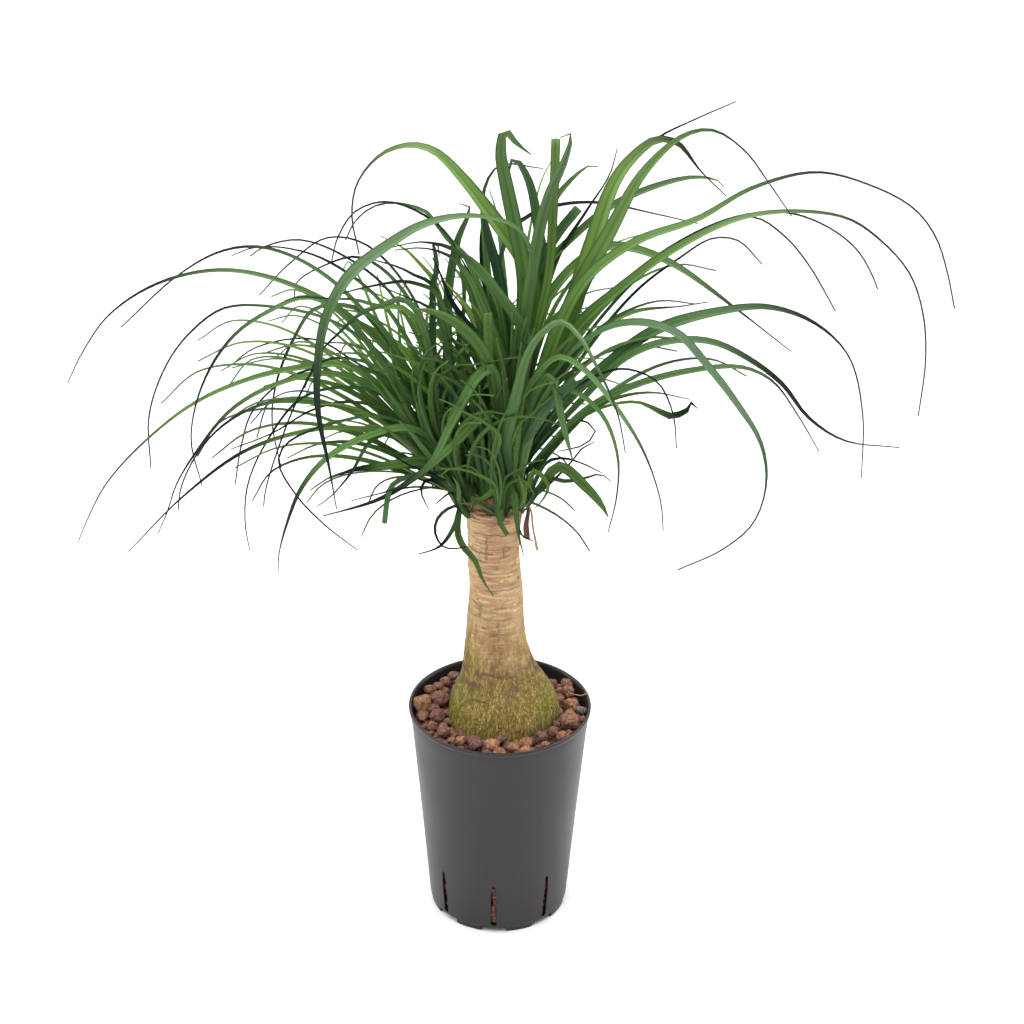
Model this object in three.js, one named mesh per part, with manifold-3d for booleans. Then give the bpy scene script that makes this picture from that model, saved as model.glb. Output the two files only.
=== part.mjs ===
// A potted ponytail palm: a plastic culture pot filled with clay pebbles, a swollen trunk
// that stands in them, two leafy heads on the cut top of the trunk, and small shoots round its rim.
// Millimetres, +Z up. The origin is on the surface the pot stands on, in the middle of the pot.

import * as THREE from 'three';
import { mergeVertices } from 'three/addons/utils/BufferGeometryUtils.js';
import Module from 'manifold-3d';

const wasm = await Module();
wasm.setup();

// Fits between pieces
const GAP = 0.3;
const HOLE_GAP = 0.4;
const MERGE_DISTANCE = 1e-3;

// Pot
const POT_HEIGHT = 190;
const POT_RIM_RADIUS = 75;
const POT_COLLAR_RADIUS = 73.4;
const POT_COLLAR_DEPTH = 14;
const POT_SHOULDER_RADIUS = 72;
const POT_BASE_RADIUS = 57.3;
const POT_EDGE_ROUND = 3;
const POT_WALL = 1.6;
const POT_FLOOR = 2.2;
const POT_RIM_BEAD = 2.6;
const POT_SIDES = 56;

// Feet and drain slots, both repeated round the base
const FOOT_COUNT = 8;
const FOOT_HEIGHT = 3.5;
const FOOT_ANGLE = 23;
const FOOT_OUTER = 56;
const FOOT_INNER = 45;
const FOOT_SINK = 0.6;
const SLOT_WIDTH = 3.8;
const SLOT_BOTTOM = 6.4;
const SLOT_TOP = 47;
const SLOT_TURN = -3.6;

// Clay pebbles
const BED_LEVEL = 181;
const BED_SIDES = 28;
const PEBBLE_COUNT = 48;
const PEBBLE_INNER = 46;
const PEBBLE_OUTER = 67;
const PEBBLE_SMALL = 4.6;
const PEBBLE_LARGE = 7.4;

// Trunk: height, radius and sideways shift of the middle at each station
const TRUNK_STATIONS = [
  [112, 15, 1],
  [120, 24, 1],
  [132, 33, 1.5],
  [148, 40.5, 2],
  [163, 44.5, 2.5],
  [178, 45.6, 2.9],
  [192, 44.6, 3.6],
  [202, 41.5, 3.4],
  [211, 37.2, 2.6],
  [220, 32.8, 0.8],
  [229, 29.6, -1.1],
  [241, 27, -2.6],
  [254, 24.9, -3.7],
  [278, 23, -4.3],
  [301, 21.3, -4.2],
  [326, 20.7, -5.6],
  [350, 21.1, -6],
  [366, 22, -6],
  [378, 24, -5.6],
];
const TRUNK_TOP = 378;
const TRUNK_MIDDLE = -5.6;
const TRUNK_SIDES = 22;
const TRUNK_ROWS = 30;
const RING_FROM = 226;
const RING_SPACING = 8.6;
const RING_HEIGHT = 0.55;

// Thick roots below the bulb: turn in degrees, reach outward and length
const ROOTS = [
  [20, 26, 86],
  [95, 22, 74],
  [160, 30, 90],
  [235, 24, 80],
  [305, 30, 70],
];
const ROOT_RADIUS = 5.5;
const ROOT_TIP_RADIUS = 1.6;
const ROOT_TOP = 126;
const ROOT_STEPS = 4;
const ROOT_SIDES = 5;

// Leaves
const BLADE_EDGE = 1.0;
const BLADE_KEEL = 1.0;
const TIP_KEEL = 0.7;
const LOW_SHARE = 0.1;
const HIGH_SHARE = 0.8;
const ROOT_OUT = 0.5;
const STEP_LENGTH = 46;
const MOST_STEPS = 9;
const DEPTH_POWER = 1.2;

// The place the leaf routes are sighted from. A sight point (across, up) lies where the
// line from here to the leaf crosses the upright plane through the middle of the pot.
const EYE = new THREE.Vector3(0, -2174, 1591);

// Heads and shoots: where each stem starts, how it leans, its radius at the foot and, with the
// leaf bases wrapped round it, near the top
const HEADS = {
  left: { base: [-24, 4, 378.3], lean: [-36, 2, 60], wide: 12, slim: 18 },
  main: { base: [8, 4, 378.3], lean: [0, 3, 80], wide: 13, slim: 21 },
  rimLeft: { base: [-27, -12, 375], lean: [-8, -4, 16], wide: 6, slim: 4 },
  rimFront: { base: [0, -19, 376], lean: [-1, -9, 14], wide: 7, slim: 4 },
  rimRight: { base: [12, -8, 376], lean: [14, -4, 20], wide: 6, slim: 4 },
};
const CROWN_RADIUS = 22;
const CROWN_HEIGHT = 9;
const STEM_SIDES = 10;

// Long leaves: head, width, roll, depth of the tip, and the sight points of the route
const LONG_LEAVES = [
  ['main', 4.0, 0, 60, [[30, 480], [62, 590], [90, 663], [112, 690], [140, 706], [171, 721]]],
  ['main', 9.5, 20, 50, [[28, 470], [48, 530], [66, 600], [83, 656], [97, 677], [113, 690], [128, 688],
    [147, 665], [167, 645]]],
  ['main', 10.0, -15, -25, [[30, 480], [56, 563], [80, 615], [105, 665], [134, 694], [155, 698], [179, 682],
    [197, 658], [217, 629]]],
  ['main', 7.0, 10, 95, [[18, 500], [34, 587], [53, 611], [79, 635], [109, 651], [140, 660], [159, 658],
    [165, 652]]],
  ['main', 8.0, -10, -55, [[25, 470], [45, 540], [66, 579], [102, 608], [146, 626], [187, 652], [234, 665],
    [277, 654], [309, 636], [327, 613], [338, 584], [346, 553]]],
  ['main', 8.0, 15, 35, [[28, 470], [58, 536], [85, 564], [125, 598], [175, 626], [216, 633], [258, 628],
    [284, 611], [309, 583], [322, 549], [327, 509], [325, 460]]],
  ['main', 4.5, 0, -95, [[22, 440], [60, 520], [110, 585], [150, 617], [188, 628], [212, 613], [232, 589],
    [255, 550]]],
  ['main', 4.0, 0, 120, [[30, 480], [80, 560], [130, 605], [175, 628], [213, 632], [244, 621], [268, 602],
    [282, 579], [286, 569]]],
  ['main', 5.0, 0, 100, [[22, 430], [61, 508], [101, 565], [134, 594], [157, 610], [177, 609], [197, 589]]],
  ['main', 6.5, 10, 60, [[15, 450], [26, 530], [38, 575], [52, 594], [83, 601], [112, 597], [148, 575],
    [190, 540], [222, 515]]],
  ['main', 6.5, 0, -85, [[22, 425], [50, 470], [82, 504], [118, 533], [165, 549], [204, 553], [239, 540],
    [267, 512], [281, 463], [284, 404]]],
  ['main', 6.5, 10, -120, [[22, 420], [62, 472], [95, 509], [127, 523], [161, 523], [191, 508], [217, 487],
    [239, 458], [268, 438], [312, 432]]],
  ['main', 5.5, 0, -150, [[22, 412], [62, 460], [96, 482], [145, 498], [187, 501], [210, 489], [230, 461],
    [249, 428]]],
  ['main', 10.0, 35, -205, [[16, 430], [32, 478], [52, 512], [80, 534], [105, 539], [134, 530], [158, 503],
    [183, 469], [203, 435], [209, 400], [201, 364], [178, 339], [142, 319]]],
  ['main', 10.5, 40, -221, [[4, 447], [11, 485], [27, 512], [42, 533], [55, 537], [72, 518], [82, 490],
    [91, 457], [97, 425]]],
  ['main', 6.0, 30, -190, [[10, 440], [22, 485], [44, 509], [61, 500], [87, 468], [111, 427], [126, 382],
    [129, 355]]],
  ['main', 5.5, 30, -150, [[14, 420], [32, 465], [45, 480], [58, 478], [79, 457], [91, 422], [91, 385],
    [85, 353]]],
  ['main', 5.5, -20, -70, [[18, 405], [38, 432], [58, 453], [83, 467], [106, 470], [121, 463], [131, 458],
    [144, 463], [148, 471], [152, 465]]],
  ['main', 3.5, 0, -130, [[22, 430], [50, 475], [75, 494], [96, 499], [120, 488], [133, 461], [137, 430]]],
  ['main', 4.5, 10, 140, [[25, 450], [50, 500], [75, 533], [100, 548], [136, 553], [157, 557]]],
  ['main', 3.5, 0, 120, [[-4, 500], [-4, 585], [8, 618], [30, 633], [65, 639], [118, 629], [147, 622]]],
  ['main', 3.2, 0, -40, [[18, 412], [34, 440], [49, 453], [65, 453], [73, 443], [64, 432], [44, 426]]],
  ['main', 9.0, 20, 40, [[14, 470], [22, 560], [16, 588], [-6, 622], [-31, 657], [-52, 679], [-70, 684],
    [-91, 677], [-110, 654], [-115, 627], [-110, 594]]],
  ['main', 8.0, 25, 20, [[10, 480], [16, 570], [8, 620], [2, 650], [-3, 680], [0, 696], [9, 686], [20, 677]]],
  ['main', 6.0, 30, 60, [[14, 480], [30, 590], [27, 611], [18, 657], [7, 674], [2, 658]]],
  ['main', 6.5, 30, -12, [[12, 470], [26, 610], [34, 645], [46, 676], [49, 694], [41, 691]]],
  ['main', 4.5, 0, 30, [[14, 480], [26, 613], [41, 646], [64, 669], [70, 668]]],
  ['main', 4.5, 20, 90, [[0, 480], [-14, 600], [-15, 649], [-4, 668], [29, 666]]],
  ['main', 3.2, 0, 80, [[14, 460], [40, 590], [61, 630], [79, 662], [84, 683]]],
  ['main', 8.0, 25, -110, [[10, 470], [22, 590], [9, 618], [-24, 627], [-60, 620], [-91, 600], [-118, 576],
    [-136, 541], [-143, 502], [-144, 462], [-136, 409], [-131, 372]]],
  ['main', 4.0, 0, 80, [[4, 480], [4, 600], [-20, 624], [-46, 635], [-72, 634], [-93, 621], [-104, 598]]],
  ['main', 9.0, 35, -95, [[0, 420], [-3, 470], [-10, 499], [-20, 491], [-40, 450], [-56, 415], [-79, 394],
    [-119, 380]]],
  ['main', 6.0, 30, -75, [[-1, 420], [-1, 452], [-6, 459], [-16, 455], [-39, 430], [-69, 401], [-98, 381],
    [-142, 366]]],
  ['main', 9.5, 35, -30, [[-1, 415], [-4, 458], [-10, 500], [-13, 545], [-24, 590]]],
  ['main', 9.0, 20, 30, [[4, 420], [8, 480], [6, 540], [-8, 590], [-34, 640]]],
  ['left', 4.5, 0, 60, [[-45, 470], [-30, 560], [-40, 606], [-60, 627], [-89, 638], [-112, 630], [-126, 608],
    [-131, 588]]],
  ['left', 4.5, 0, 20, [[-55, 460], [-95, 530], [-133, 574], [-167, 595], [-193, 600], [-219, 594],
    [-250, 574], [-294, 531]]],
  ['left', 4.5, 0, 70, [[-50, 460], [-90, 550], [-133, 588], [-165, 599], [-190, 599], [-207, 592]]],
  ['left', 3.5, 0, 110, [[-45, 470], [-70, 560], [-104, 602], [-133, 608], [-163, 586], [-187, 559]]],
  ['left', 4.0, 0, 90, [[-45, 460], [-85, 560], [-120, 592], [-154, 606], [-182, 600], [-193, 592]]],
  ['left', 5.5, 0, 0, [[-60, 465], [-95, 520], [-133, 553], [-180, 575], [-220, 580], [-265, 568],
    [-303, 541], [-326, 507], [-338, 482]]],
  ['left', 5.0, 0, 60, [[-60, 455], [-95, 510], [-134, 539], [-181, 550], [-214, 548], [-240, 528],
    [-260, 500], [-276, 455], [-277, 407]]],
  ['left', 5.5, 10, -50, [[-60, 450], [-95, 505], [-125, 545], [-150, 558], [-181, 545], [-208, 524],
    [-232, 485], [-244, 435], [-237, 392]]],
  ['left', 7.0, 10, -60, [[-62, 440], [-90, 475], [-120, 500], [-162, 497], [-203, 485], [-243, 464],
    [-285, 427], [-313, 393], [-329, 362], [-338, 340]]],
  ['left', 6.0, 0, -90, [[-60, 435], [-95, 478], [-135, 493], [-176, 483], [-211, 461], [-237, 428],
    [-257, 394], [-265, 370], [-274, 348]]],
  ['left', 4.5, 0, -20, [[-60, 430], [-105, 458], [-148, 467], [-185, 466], [-219, 446], [-241, 419],
    [-254, 390], [-257, 370]]],
  ['left', 6.0, 10, -110, [[-45, 415], [-81, 440], [-116, 445], [-150, 443], [-202, 424], [-252, 383],
    [-298, 332]]],
  ['left', 7.5, 25, -170, [[-45, 420], [-70, 445], [-99, 441], [-138, 418], [-159, 390], [-171, 358],
    [-178, 330], [-179, 314]]],
  ['left', 3.5, 0, -150, [[-50, 425], [-90, 455], [-130, 450], [-170, 430], [-176, 414], [-163, 385],
    [-140, 357], [-115, 335]]],
  ['left', 4.0, 0, -60, [[-60, 450], [-110, 480], [-155, 472], [-186, 430], [-201, 393], [-204, 358],
    [-201, 333]]],
  ['left', 4.5, 0, 30, [[-60, 455], [-110, 498], [-160, 492], [-194, 461], [-205, 428], [-211, 393]]],
  ['left', 3.8, 0, -100, [[-55, 440], [-100, 500], [-140, 503], [-159, 471], [-174, 432], [-187, 389],
    [-189, 374]]],
  ['left', 5.0, 0, 20, [[-58, 455], [-105, 545], [-143, 549], [-161, 523], [-176, 483], [-180, 450],
    [-174, 409]]],
  ['left', 9.0, 20, -90, [[-40, 405], [-60, 416], [-91, 412], [-117, 408], [-136, 400]]],
  ['left', 6.0, 30, -110, [[-45, 415], [-75, 440], [-101, 436], [-119, 405], [-136, 383], [-146, 375]]],
  ['left', 3.0, 0, 60, [[-50, 440], [-75, 480], [-110, 500], [-145, 522], [-190, 515], [-213, 497]]],
  ['left', 4.0, 0, -30, [[-58, 440], [-100, 465], [-125, 468], [-150, 460], [-180, 440], [-214, 425]]],
  ['left', 5.5, 10, 90, [[-48, 470], [-60, 530], [-85, 575], [-110, 592], [-140, 583], [-158, 570],
    [-160, 556]]],
];

// Short leaves of the small shoots round the rim
const SHOOT_LEAVES = [
  ['rimLeft', 3.5, 20, -48, [[-37, 376], [-50, 366], [-53, 353], [-47, 339], [-38, 337], [-27, 339]]],
  ['rimLeft', 5.5, 20, -44, [[-33, 375], [-36, 361], [-47, 341], [-56, 335], [-66, 332]]],
  ['rimLeft', 5.5, 20, -38, [[-32, 372], [-35, 352], [-30, 338], [-21, 326], [-15, 309], [-6, 293]]],
  ['rimLeft', 4.5, 20, -60, [[-45, 395], [-60, 399], [-64, 390], [-58, 373]]],
  ['rimLeft', 3.0, 0, -50, [[-50, 402], [-72, 412], [-84, 420]]],
  ['rimLeft', 4.0, 0, -35, [[-40, 388], [-48, 382], [-52, 378]]],
  ['rimFront', 8.5, 30, -36, [[8, 392], [10, 385], [12, 366], [14, 349], [18, 331]]],
  ['rimFront', 3.0, 0, -62, [[-6, 396], [-20, 405], [-40, 410], [-48, 404]]],
  ['rimRight', 9.5, 30, -35, [[34, 397], [41, 410], [48, 414], [66, 398], [82, 378], [85, 367]]],
  ['rimRight', 4.5, 10, -28, [[37, 401], [51, 399], [65, 402], [78, 406], [86, 400]]],
  ['rimRight', 4.5, 0, -22, [[35, 416], [47, 420], [62, 416], [79, 407]]],
  ['rimRight', 4.5, 20, -26, [[31, 392], [36, 398], [37, 391], [32, 379], [25, 372]]],
  ['rimRight', 3.2, 0, -10, [[45, 405], [57, 420], [62, 428], [73, 435]]],
];

// Leaves whose ends were trimmed or torn off square
const TRIMMED_LEAVES = [
  ['main', 9.0, 30, -45, [[12, 410], [20, 437], [36, 467], [57, 489]]],
  ['main', 7.0, 30, 10, [[14, 470], [34, 577], [37, 636], [38, 690]]],
  ['left', 6.0, 30, -105, [[-45, 405], [-70, 403], [-81, 399], [-88, 392], [-91, 378], [-93, 360]]],
  ['rimFront', 6.0, 30, -36, [[-5, 385], [-3, 374], [-1, 361], [5, 350]]],
];

// Inner leaves of each head, set round its stem in a spiral. Old leaves are longer and lower.
const SPIRAL_TURN = 137.508;
const INNER_LEAVES = [
  { head: 'main', count: 34, turn: 25, length: [190, 330], width: [5, 9], rise: [86, 52], droop: [5, 60],
    crowded: -1, salt: 3 },
  { head: 'left', count: 40, turn: 80, length: [150, 270], width: [3.5, 5.5], rise: [86, 40], droop: [5, 60],
    crowded: 1, salt: 7 },
];
const INNER_STEPS = 6;
const BEND_POWER = 1.9;

// Dried leaves at the right of the trunk top: width, thickness and route of each
const DRY_SHEATH = {
  width: 6.5,
  route: [[20.5, -6, 383], [21.5, -7, 376], [20.2, -8, 364], [20.6, -9, 352]],
};
const DRY_FLAKE = {
  width: 2.4,
  route: [[20.5, -5, 381], [23.5, -3, 374], [25, -3, 362], [26.5, -4, 351], [28.8, -5, 339]],
};
const DRY_KEEL = 0.8;

// A steady pseudo-random value from 0 to 1 for a numbered piece
function spread(index, salt) {
  const value = Math.sin(index * 12.9898 + salt * 78.233) * 43758.5453;
  return value - Math.floor(value);
}

function mix(range, share) {
  return range[0] + (range[1] - range[0]) * share;
}

// A closed solid from a three.js geometry
function solidFrom(geometry) {
  const bare = new THREE.BufferGeometry();
  bare.setAttribute('position', geometry.getAttribute('position'));
  bare.setIndex(geometry.getIndex());
  const merged = mergeVertices(bare, MERGE_DISTANCE);
  const mesh = new wasm.Mesh({
    numProp: 3,
    vertProperties: new Float32Array(merged.getAttribute('position').array),
    triVerts: new Uint32Array(merged.getIndex().array),
  });
  mesh.merge();
  return new wasm.Manifold(mesh);
}

function geometryFrom(solid) {
  const mesh = solid.getMesh();
  const geometry = new THREE.BufferGeometry();
  geometry.setAttribute('position', new THREE.BufferAttribute(mesh.vertProperties, 3));
  geometry.setIndex(new THREE.BufferAttribute(mesh.triVerts, 1));
  return geometry;
}

// The main body of a solid, without loose scraps and with sealed hollows filled
function mainBody(solid) {
  const bodies = solidFrom(geometryFrom(solid)).decompose();
  bodies.sort((a, b) => b.volume() - a.volume());
  return bodies[0];
}

// A closed solid through rows of points with the same number of points each
function solidFromRows(rows) {
  const sides = rows[0].length;
  const positions = rows.flat().flatMap((point) => [point.x, point.y, point.z]);
  const faces = [];
  for (let row = 0; row < rows.length - 1; row += 1) {
    for (let side = 0; side < sides; side += 1) {
      const next = (side + 1) % sides;
      const a = row * sides + side;
      const b = row * sides + next;
      const c = (row + 1) * sides + next;
      const d = (row + 1) * sides + side;
      faces.push(a, b, c, a, c, d);
    }
  }
  const last = (rows.length - 1) * sides;
  for (let side = 1; side < sides - 1; side += 1) {
    faces.push(0, side + 1, side);
    faces.push(last, last + side, last + side + 1);
  }
  const geometry = new THREE.BufferGeometry();
  geometry.setAttribute('position', new THREE.BufferAttribute(new Float32Array(positions), 3));
  geometry.setIndex(faces);
  return solidFrom(geometry);
}

// A round frustum between two points
function frustum(from, to, wide, slim, sides) {
  const axis = new THREE.Vector3().subVectors(to, from);
  const geometry = new THREE.CylinderGeometry(slim, wide, axis.length(), sides);
  geometry.translate(0, axis.length() / 2, 0);
  const turn = new THREE.Quaternion().setFromUnitVectors(new THREE.Vector3(0, 1, 0), axis.normalize());
  geometry.applyQuaternion(turn);
  geometry.translate(from.x, from.y, from.z);
  return solidFrom(geometry);
}

// The thin tapered pot with its rim bead, feet and drain slots
function buildPot() {
  const radiusAt = (height) => {
    const share = (height - FOOT_HEIGHT) / (POT_HEIGHT - POT_COLLAR_DEPTH - FOOT_HEIGHT);
    return mix([POT_BASE_RADIUS, POT_SHOULDER_RADIUS], share);
  };
  const underside = FOOT_HEIGHT;
  const edge = underside + POT_EDGE_ROUND;
  const collarFoot = POT_HEIGHT - POT_COLLAR_DEPTH;
  const beadFoot = POT_HEIGHT - POT_RIM_BEAD;
  const floorTop = underside + POT_FLOOR;
  const outline = [
    [0, underside],
    [POT_BASE_RADIUS - POT_EDGE_ROUND, underside],
    [radiusAt(edge) - 0.3 * POT_EDGE_ROUND, underside + 0.3 * POT_EDGE_ROUND],
    [radiusAt(edge), edge],
    [POT_SHOULDER_RADIUS, collarFoot],
    [POT_COLLAR_RADIUS - 0.4, collarFoot + 0.6],
    [POT_COLLAR_RADIUS, beadFoot - 0.8],
    [POT_RIM_RADIUS, beadFoot],
    [POT_RIM_RADIUS, POT_HEIGHT - 0.5],
    [POT_RIM_RADIUS - 0.6, POT_HEIGHT],
    [POT_COLLAR_RADIUS - POT_WALL, POT_HEIGHT],
    [POT_SHOULDER_RADIUS - POT_WALL, collarFoot - 1],
    [radiusAt(floorTop + 2) - POT_WALL, floorTop + 2],
    [radiusAt(floorTop + 2) - POT_WALL - 2, floorTop],
    [0, floorTop],
  ].map(([radius, height]) => new THREE.Vector2(radius, height));
  const lathe = new THREE.LatheGeometry(outline, POT_SIDES);
  lathe.rotateX(Math.PI / 2);
  let pot = solidFrom(lathe);
  for (let index = 0; index < FOOT_COUNT; index += 1) {
    const turn = ((SLOT_TURN + (index + 0.5) * (360 / FOOT_COUNT)) * Math.PI) / 180;
    pot = pot.add(buildFoot(turn));
  }
  for (let index = 0; index < FOOT_COUNT; index += 1) {
    const turn = ((SLOT_TURN + index * (360 / FOOT_COUNT)) * Math.PI) / 180;
    const length = POT_SHOULDER_RADIUS;
    const cutter = new THREE.BoxGeometry(SLOT_WIDTH, length / 2, SLOT_TOP - SLOT_BOTTOM);
    cutter.translate(0, -0.85 * length, (SLOT_TOP + SLOT_BOTTOM) / 2);
    cutter.rotateZ(turn);
    pot = pot.subtract(solidFrom(cutter));
  }
  return mainBody(pot);
}

// One foot: a short piece of ring under the edge of the floor
function buildFoot(turn) {
  const half = (FOOT_ANGLE * Math.PI) / 360;
  const middle = turn - Math.PI / 2;
  const shape = new THREE.Shape();
  shape.absarc(0, 0, FOOT_OUTER, middle - half, middle + half, false);
  shape.absarc(0, 0, FOOT_INNER, middle + half, middle - half, true);
  const geometry = new THREE.ExtrudeGeometry(shape, {
    depth: FOOT_HEIGHT + FOOT_SINK,
    bevelEnabled: false,
    curveSegments: 3,
  });
  return solidFrom(geometry);
}

// The radius and the sideways shift of the trunk at a height, by smooth steps between stations
function trunkAt(height) {
  const last = TRUNK_STATIONS.length - 2;
  let index = 0;
  while (index < last && TRUNK_STATIONS[index + 1][0] < height) {
    index += 1;
  }
  const low = TRUNK_STATIONS[index];
  const high = TRUNK_STATIONS[index + 1];
  const share = (height - low[0]) / (high[0] - low[0]);
  return { radius: mix([low[1], high[1]], share), shift: mix([low[2], high[2]], share) };
}

// Raised leaf-scar rings on the slim upper part
function ringRelief(height) {
  if (height < RING_FROM || height > TRUNK_TOP - 4) {
    return 0;
  }
  return RING_HEIGHT * Math.sin(((height - RING_FROM) / RING_SPACING) * Math.PI * 2);
}

// The swollen trunk with its thick roots, grown as one piece. Extra makes it larger, for its hole.
function buildTrunk(extra) {
  const bottom = TRUNK_STATIONS[0][0];
  const rows = [];
  for (let row = 0; row <= TRUNK_ROWS; row += 1) {
    const height = mix([bottom, TRUNK_TOP], (row / TRUNK_ROWS) ** 0.92);
    const { radius, shift } = trunkAt(height);
    const reach = radius + ringRelief(height) + extra;
    const points = [];
    for (let side = 0; side < TRUNK_SIDES; side += 1) {
      const angle = (side / TRUNK_SIDES) * Math.PI * 2;
      points.push(new THREE.Vector3(shift + reach * Math.cos(angle), reach * Math.sin(angle), height));
    }
    rows.push(points);
  }
  let trunk = solidFromRows(rows);
  for (const [turn, reach, length] of ROOTS) {
    trunk = trunk.add(buildRoot(turn, reach, length, extra));
  }
  return mainBody(trunk);
}

// A tapering root that curves outward and down
function buildRoot(turn, reach, length, extra) {
  const angle = (turn * Math.PI) / 180;
  const rows = [];
  for (let step = 0; step <= ROOT_STEPS; step += 1) {
    const share = step / ROOT_STEPS;
    const out = 6 + reach * Math.sqrt(share);
    const radius = mix([ROOT_RADIUS, ROOT_TIP_RADIUS], share) + extra;
    const points = [];
    for (let side = 0; side < ROOT_SIDES; side += 1) {
      const around = (-side / ROOT_SIDES) * Math.PI * 2;
      const x = out * Math.cos(angle) + radius * Math.cos(around);
      const y = out * Math.sin(angle) + radius * Math.sin(around);
      points.push(new THREE.Vector3(x, y, ROOT_TOP - length * share));
    }
    rows.push(points);
  }
  return solidFromRows(rows);
}

// Clay pebbles filling the pot: a bed with separate pebbles standing out of its top
function buildPebbles() {
  const floorTop = FOOT_HEIGHT + POT_FLOOR + GAP;
  const innerAt = (height) => {
    const share = (height - FOOT_HEIGHT) / (POT_HEIGHT - POT_COLLAR_DEPTH - FOOT_HEIGHT);
    return mix([POT_BASE_RADIUS, POT_SHOULDER_RADIUS], share) - POT_WALL - 2 * GAP;
  };
  const outline = [
    [0, floorTop],
    [innerAt(floorTop) - 2.2, floorTop],
    [innerAt(floorTop + 3), floorTop + 3],
    [innerAt(BED_LEVEL), BED_LEVEL],
    [0, BED_LEVEL],
  ].map(([radius, height]) => new THREE.Vector2(radius, height));
  const lathe = new THREE.LatheGeometry(outline, BED_SIDES);
  lathe.rotateX(Math.PI / 2);
  const pieces = [solidFrom(lathe)];
  for (let index = 0; index < PEBBLE_COUNT; index += 1) {
    pieces.push(buildPebble(index));
  }
  const bed = wasm.Manifold.union(pieces);
  return mainBody(bed.subtract(buildTrunk(HOLE_GAP)));
}

// One angular pebble, set in the ring between the trunk and the pot wall
function buildPebble(index) {
  const size = mix([PEBBLE_SMALL, PEBBLE_LARGE], spread(index, 1) ** 1.4);
  const ring = Math.sqrt(mix([PEBBLE_INNER ** 2, PEBBLE_OUTER ** 2], (index + 0.5) / PEBBLE_COUNT));
  const angle = ((SPIRAL_TURN * index) * Math.PI) / 180;
  const reach = Math.min(ring, PEBBLE_OUTER + 2 - size);
  const stone = new THREE.IcosahedronGeometry(size, 0);
  stone.scale(1 + 0.25 * spread(index, 3), 1, 0.72 + 0.2 * spread(index, 4));
  stone.rotateX(0.5 * spread(index, 5));
  stone.rotateZ(6 * spread(index, 6));
  const height = BED_LEVEL + 0.25 * size + 1.5 * spread(index, 7);
  stone.translate(reach * Math.cos(angle), reach * Math.sin(angle), height);
  return solidFrom(stone);
}

// The point of a sighted leaf route at a given depth behind the middle of the pot
function sighted(across, up, depth) {
  const share = (depth - EYE.y) / -EYE.y;
  return new THREE.Vector3(across * share, depth, EYE.z + share * (up - EYE.z));
}

function stemPoint(head, share) {
  const { base, lean } = HEADS[head];
  return new THREE.Vector3(...base).addScaledVector(new THREE.Vector3(...lean), share);
}

// The root of a leaf: upright leaves grow near the top of the stem and low ones near its foot,
// each on the side it heads for
function leafRoot(head, tipDepth, [across, up]) {
  const low = stemPoint(head, LOW_SHARE);
  const heading = sighted(across, up, mix([low.y, tipDepth], 0.4)).sub(low);
  const rise = Math.atan2(heading.z, Math.hypot(heading.x, heading.y)) / (Math.PI / 2);
  const outward = new THREE.Vector3(heading.x, heading.y, 0).normalize();
  const root = stemPoint(head, mix([LOW_SHARE, HIGH_SHARE], Math.max(0, rise) ** 2));
  return root.addScaledVector(outward, ROOT_OUT * HEADS[head].slim);
}

// The route of a leaf in space, from its stem through its sight points
function leafRoute([head, , , tipDepth, sights]) {
  const root = leafRoot(head, tipDepth, sights[Math.min(1, sights.length - 1)]);
  const share = (root.y - EYE.y) / -EYE.y;
  const seen = [[root.x / share, EYE.z + (root.z - EYE.z) / share], ...sights];
  const run = [0];
  for (let index = 1; index < seen.length; index += 1) {
    const step = Math.hypot(seen[index][0] - seen[index - 1][0], seen[index][1] - seen[index - 1][1]);
    run.push(run[index - 1] + step);
  }
  const whole = run[run.length - 1];
  const points = sights.map(([across, up], index) => {
    const depth = mix([root.y, tipDepth], (run[index + 1] / whole) ** DEPTH_POWER);
    return sighted(across, up, depth);
  });
  return [root, ...points];
}

// A blade along a route: a flat face above, a keel below, tapering to a fine point
function blade(points, width, roll, trimmed, keel = BLADE_KEEL) {
  const curve = new THREE.CatmullRomCurve3(points, false, 'centripetal');
  const length = curve.getLength();
  const steps = Math.max(4, Math.min(MOST_STEPS, Math.round(length / STEP_LENGTH)));
  const from = points[0];
  const to = points[points.length - 1];
  const across = new THREE.Vector3(from.y - to.y, to.x - from.x, 0).normalize();
  const rows = [];
  for (let step = 0; step <= steps; step += 1) {
    const share = step / steps;
    const middle = curve.getPointAt(share);
    const along = curve.getTangentAt(share);
    const side = across.clone().addScaledVector(along, -across.dot(along)).normalize();
    side.applyAxisAngle(along, (roll * Math.PI) / 180);
    const face = new THREE.Vector3().crossVectors(along, side);
    const taper = trimmed ? 1 - 0.25 * share : 1 - share ** 1.8;
    const half = Math.max(BLADE_EDGE, width * taper) / 2;
    const depth = Math.max(TIP_KEEL, keel * (1 - 0.3 * share));
    rows.push([
      middle.clone().addScaledVector(side, half),
      middle.clone().addScaledVector(side, -half),
      middle.clone().addScaledVector(face, -depth),
    ]);
  }
  return solidFromRows(rows);
}

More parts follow.
